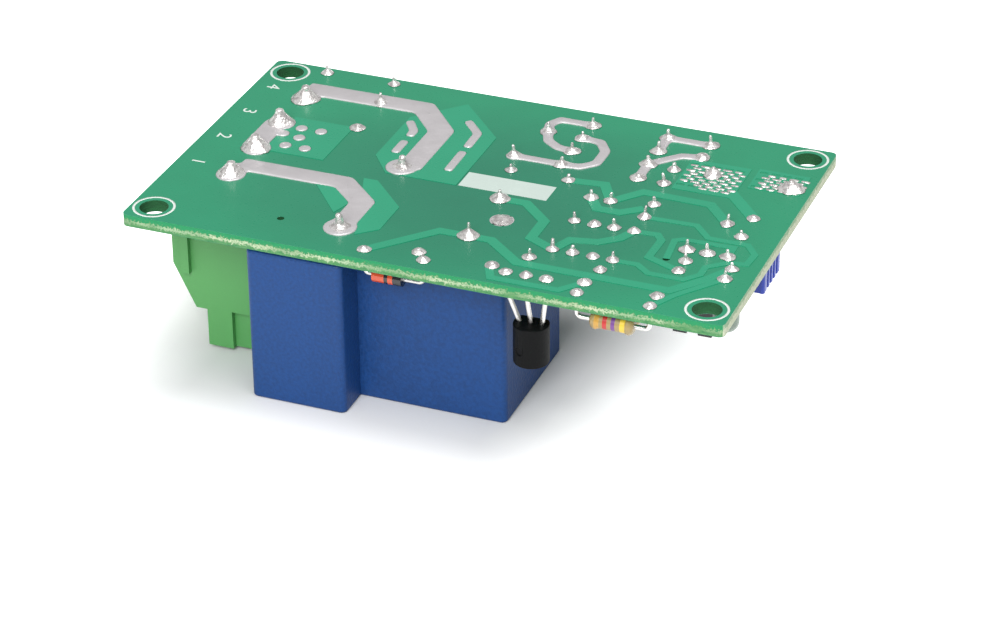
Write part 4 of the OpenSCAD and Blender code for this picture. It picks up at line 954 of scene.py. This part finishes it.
def print_numbers():
    """A plain number beside each pole of the terminal block."""
    boxes = [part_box("terminal_screw_%d" % k) for k in POLES]
    for k, y in enumerate(sorted((low[1] + high[1]) / 2 for low, high in boxes)):
        curve = bpy.data.curves.new("number", "FONT")
        curve.body = str(k + 1)
        curve.size = NUMBER_SIZE
        curve.align_x, curve.align_y = "CENTER", "CENTER"
        curve.extrude = PRINT_DEEP / 2
        obj = bpy.data.objects.new("number", curve)
        bpy.context.collection.objects.link(obj)
        spot = (BOARD_LOW[0] + NUMBER_AT[0], y + NUMBER_AT[1], PRINT_AT)
        work = bmesh.new()
        work.from_mesh(plain_mesh(obj))
        bmesh.ops.remove_doubles(work, verts=work.verts, dist=FINE_WELD)
        work.transform(Matrix.Translation(spot) @ Matrix.Rotation(math.radians(-90), 4, "Z"))
        printed("print_number_%d" % (k + 1), settled(work, "number", PLAIN_SHARP), print_white)


print_rings()
print_plate()
print_numbers()


# Moulded pieces, with their edges rounded

softened("relay_cover", 0.32, relay_blue, segments=3, curved=True)
softened("transistor_body", 0.12, black_case, curved=True)
softened("timer_chip", 0.1, black_case)
softened("header_base", 0.1, black_shell)
softened("jumper_cap", 0.14, black_shell)
softened("trimmer_body", 0.09, trimmer_blue)
softened("trimmer_rotor", 0.06, rotor_white, curved=True)
softened("snubber_capacitor", 0.2, film_box, segments=3, curved=True)


# Wires, with their ends sunk in the solder

SUNK_AT = TOP + 0.3 * MM


def sunk(node, material):
    """A CAD node cut down above the board, because the solder piece draws the lead ends."""
    work = merged(node)
    for vert in work.verts:
        vert.co.z = min(vert.co.z, SUNK_AT)
    bmesh.ops.dissolve_degenerate(work, dist=FINE_WELD, edges=work.edges)
    mesh = settled(work, node, WIRE_SHARP)
    piece(node + "_sunk", mesh, BODY_OF[node], material, [node])


SUNK = {
    "component_leads": lead_wire, "transistor_leads": lead_wire, "chip_pins": lead_wire,
    "trimmer_pins": lead_wire, "coil_pins": lead_wire, "header_pins": gilt,
    "terminal_bodies": brass, "open_contact": bronze, "closed_contact": bronze,
    "coil_yoke": iron}
for node, material in SUNK.items():
    sunk(node, material)


# CAD solids that keep their shape


def dress(node, material):
    """Gives a CAD node one finish."""
    slots = NODES[node].data.materials
    slots.clear()
    slots.append(material)


KEPT = {
    "circuit_board": board_green, "masked_tracks": track_green, "terminal_housing": terminal_green,
    "relay_base": base_blue, "coil_bobbin": ivory, "coil_winding": winding, "coil_core": iron,
    "relay_armature": iron, "contact_blade": bronze, "moving_contact": silver,
    "jumper_clip": gilt, "bypass_capacitor": ceramic, "ceramic_capacitor": ceramic,
    "varistor": varistor_blue, "led_lens_1": clear_lens, "led_lens_2": clear_lens,
    "filter_capacitor": sleeved("filter_sleeve", "filter_capacitor"),
    "timing_capacitor": sleeved("timing_sleeve", "timing_capacitor")}
for node, material in KEPT.items():
    dress(node, material)
for k in POLES:
    dress("terminal_screw_%d" % k, zinc)
    dress("clamp_plate_%d" % k, zinc)


# Axial parts with painted bands

TAN, GREY = tint(160, 138, 88), tint(142, 156, 166)
GOLD, VIOLET, YELLOW = tint(196, 150, 60), tint(112, 60, 140), tint(232, 196, 60)
RED, BROWN, PALE = tint(190, 40, 36), tint(104, 58, 30), tint(206, 206, 204)


def axial(node, ground, bands, roughness=0.35):
    """Paints a CAD node that lies along X."""
    low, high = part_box(node)
    centre, length = (low[0] + high[0]) / 2, high[0] - low[0]
    dress(node, banded(node + "_paint", centre, length, ground, bands, roughness))


def four_bands(*colours):
    """The usual places and widths of a resistor's bands."""
    return list(zip((-0.36, -0.12, 0.08, 0.34), (0.1, 0.08, 0.08, 0.1), colours))


axial("resistor_1", TAN, [(-0.32, 0.1, GOLD), (-0.14, 0.1, RED),
                          (0.05, 0.09, VIOLET), (0.27, 0.12, YELLOW)])
axial("resistor_2", TAN, four_bands(BROWN, BLACK, RED, GOLD))
axial("resistor_3", TAN, four_bands(YELLOW, VIOLET, RED, GOLD))
axial("resistor_4", TAN, four_bands(BROWN, BLACK, YELLOW, GOLD))
axial("snubber_resistor", TAN, four_bands(BROWN, BLACK, BLACK, GOLD))
axial("power_resistor", GREY, four_bands(BROWN, BLACK, BROWN, GOLD))
axial("glass_diode", tint(208, 78, 38), [(0.36, 0.3, BLACK), (-0.02, 0.13, BLACK)], 0.12)
for node in ["flyback_diode"] + ["rectifier_diode_%d" % k for k in range(1, 5)]:
    axial(node, BLACK, [(0.32, 0.16, PALE)], 0.5)
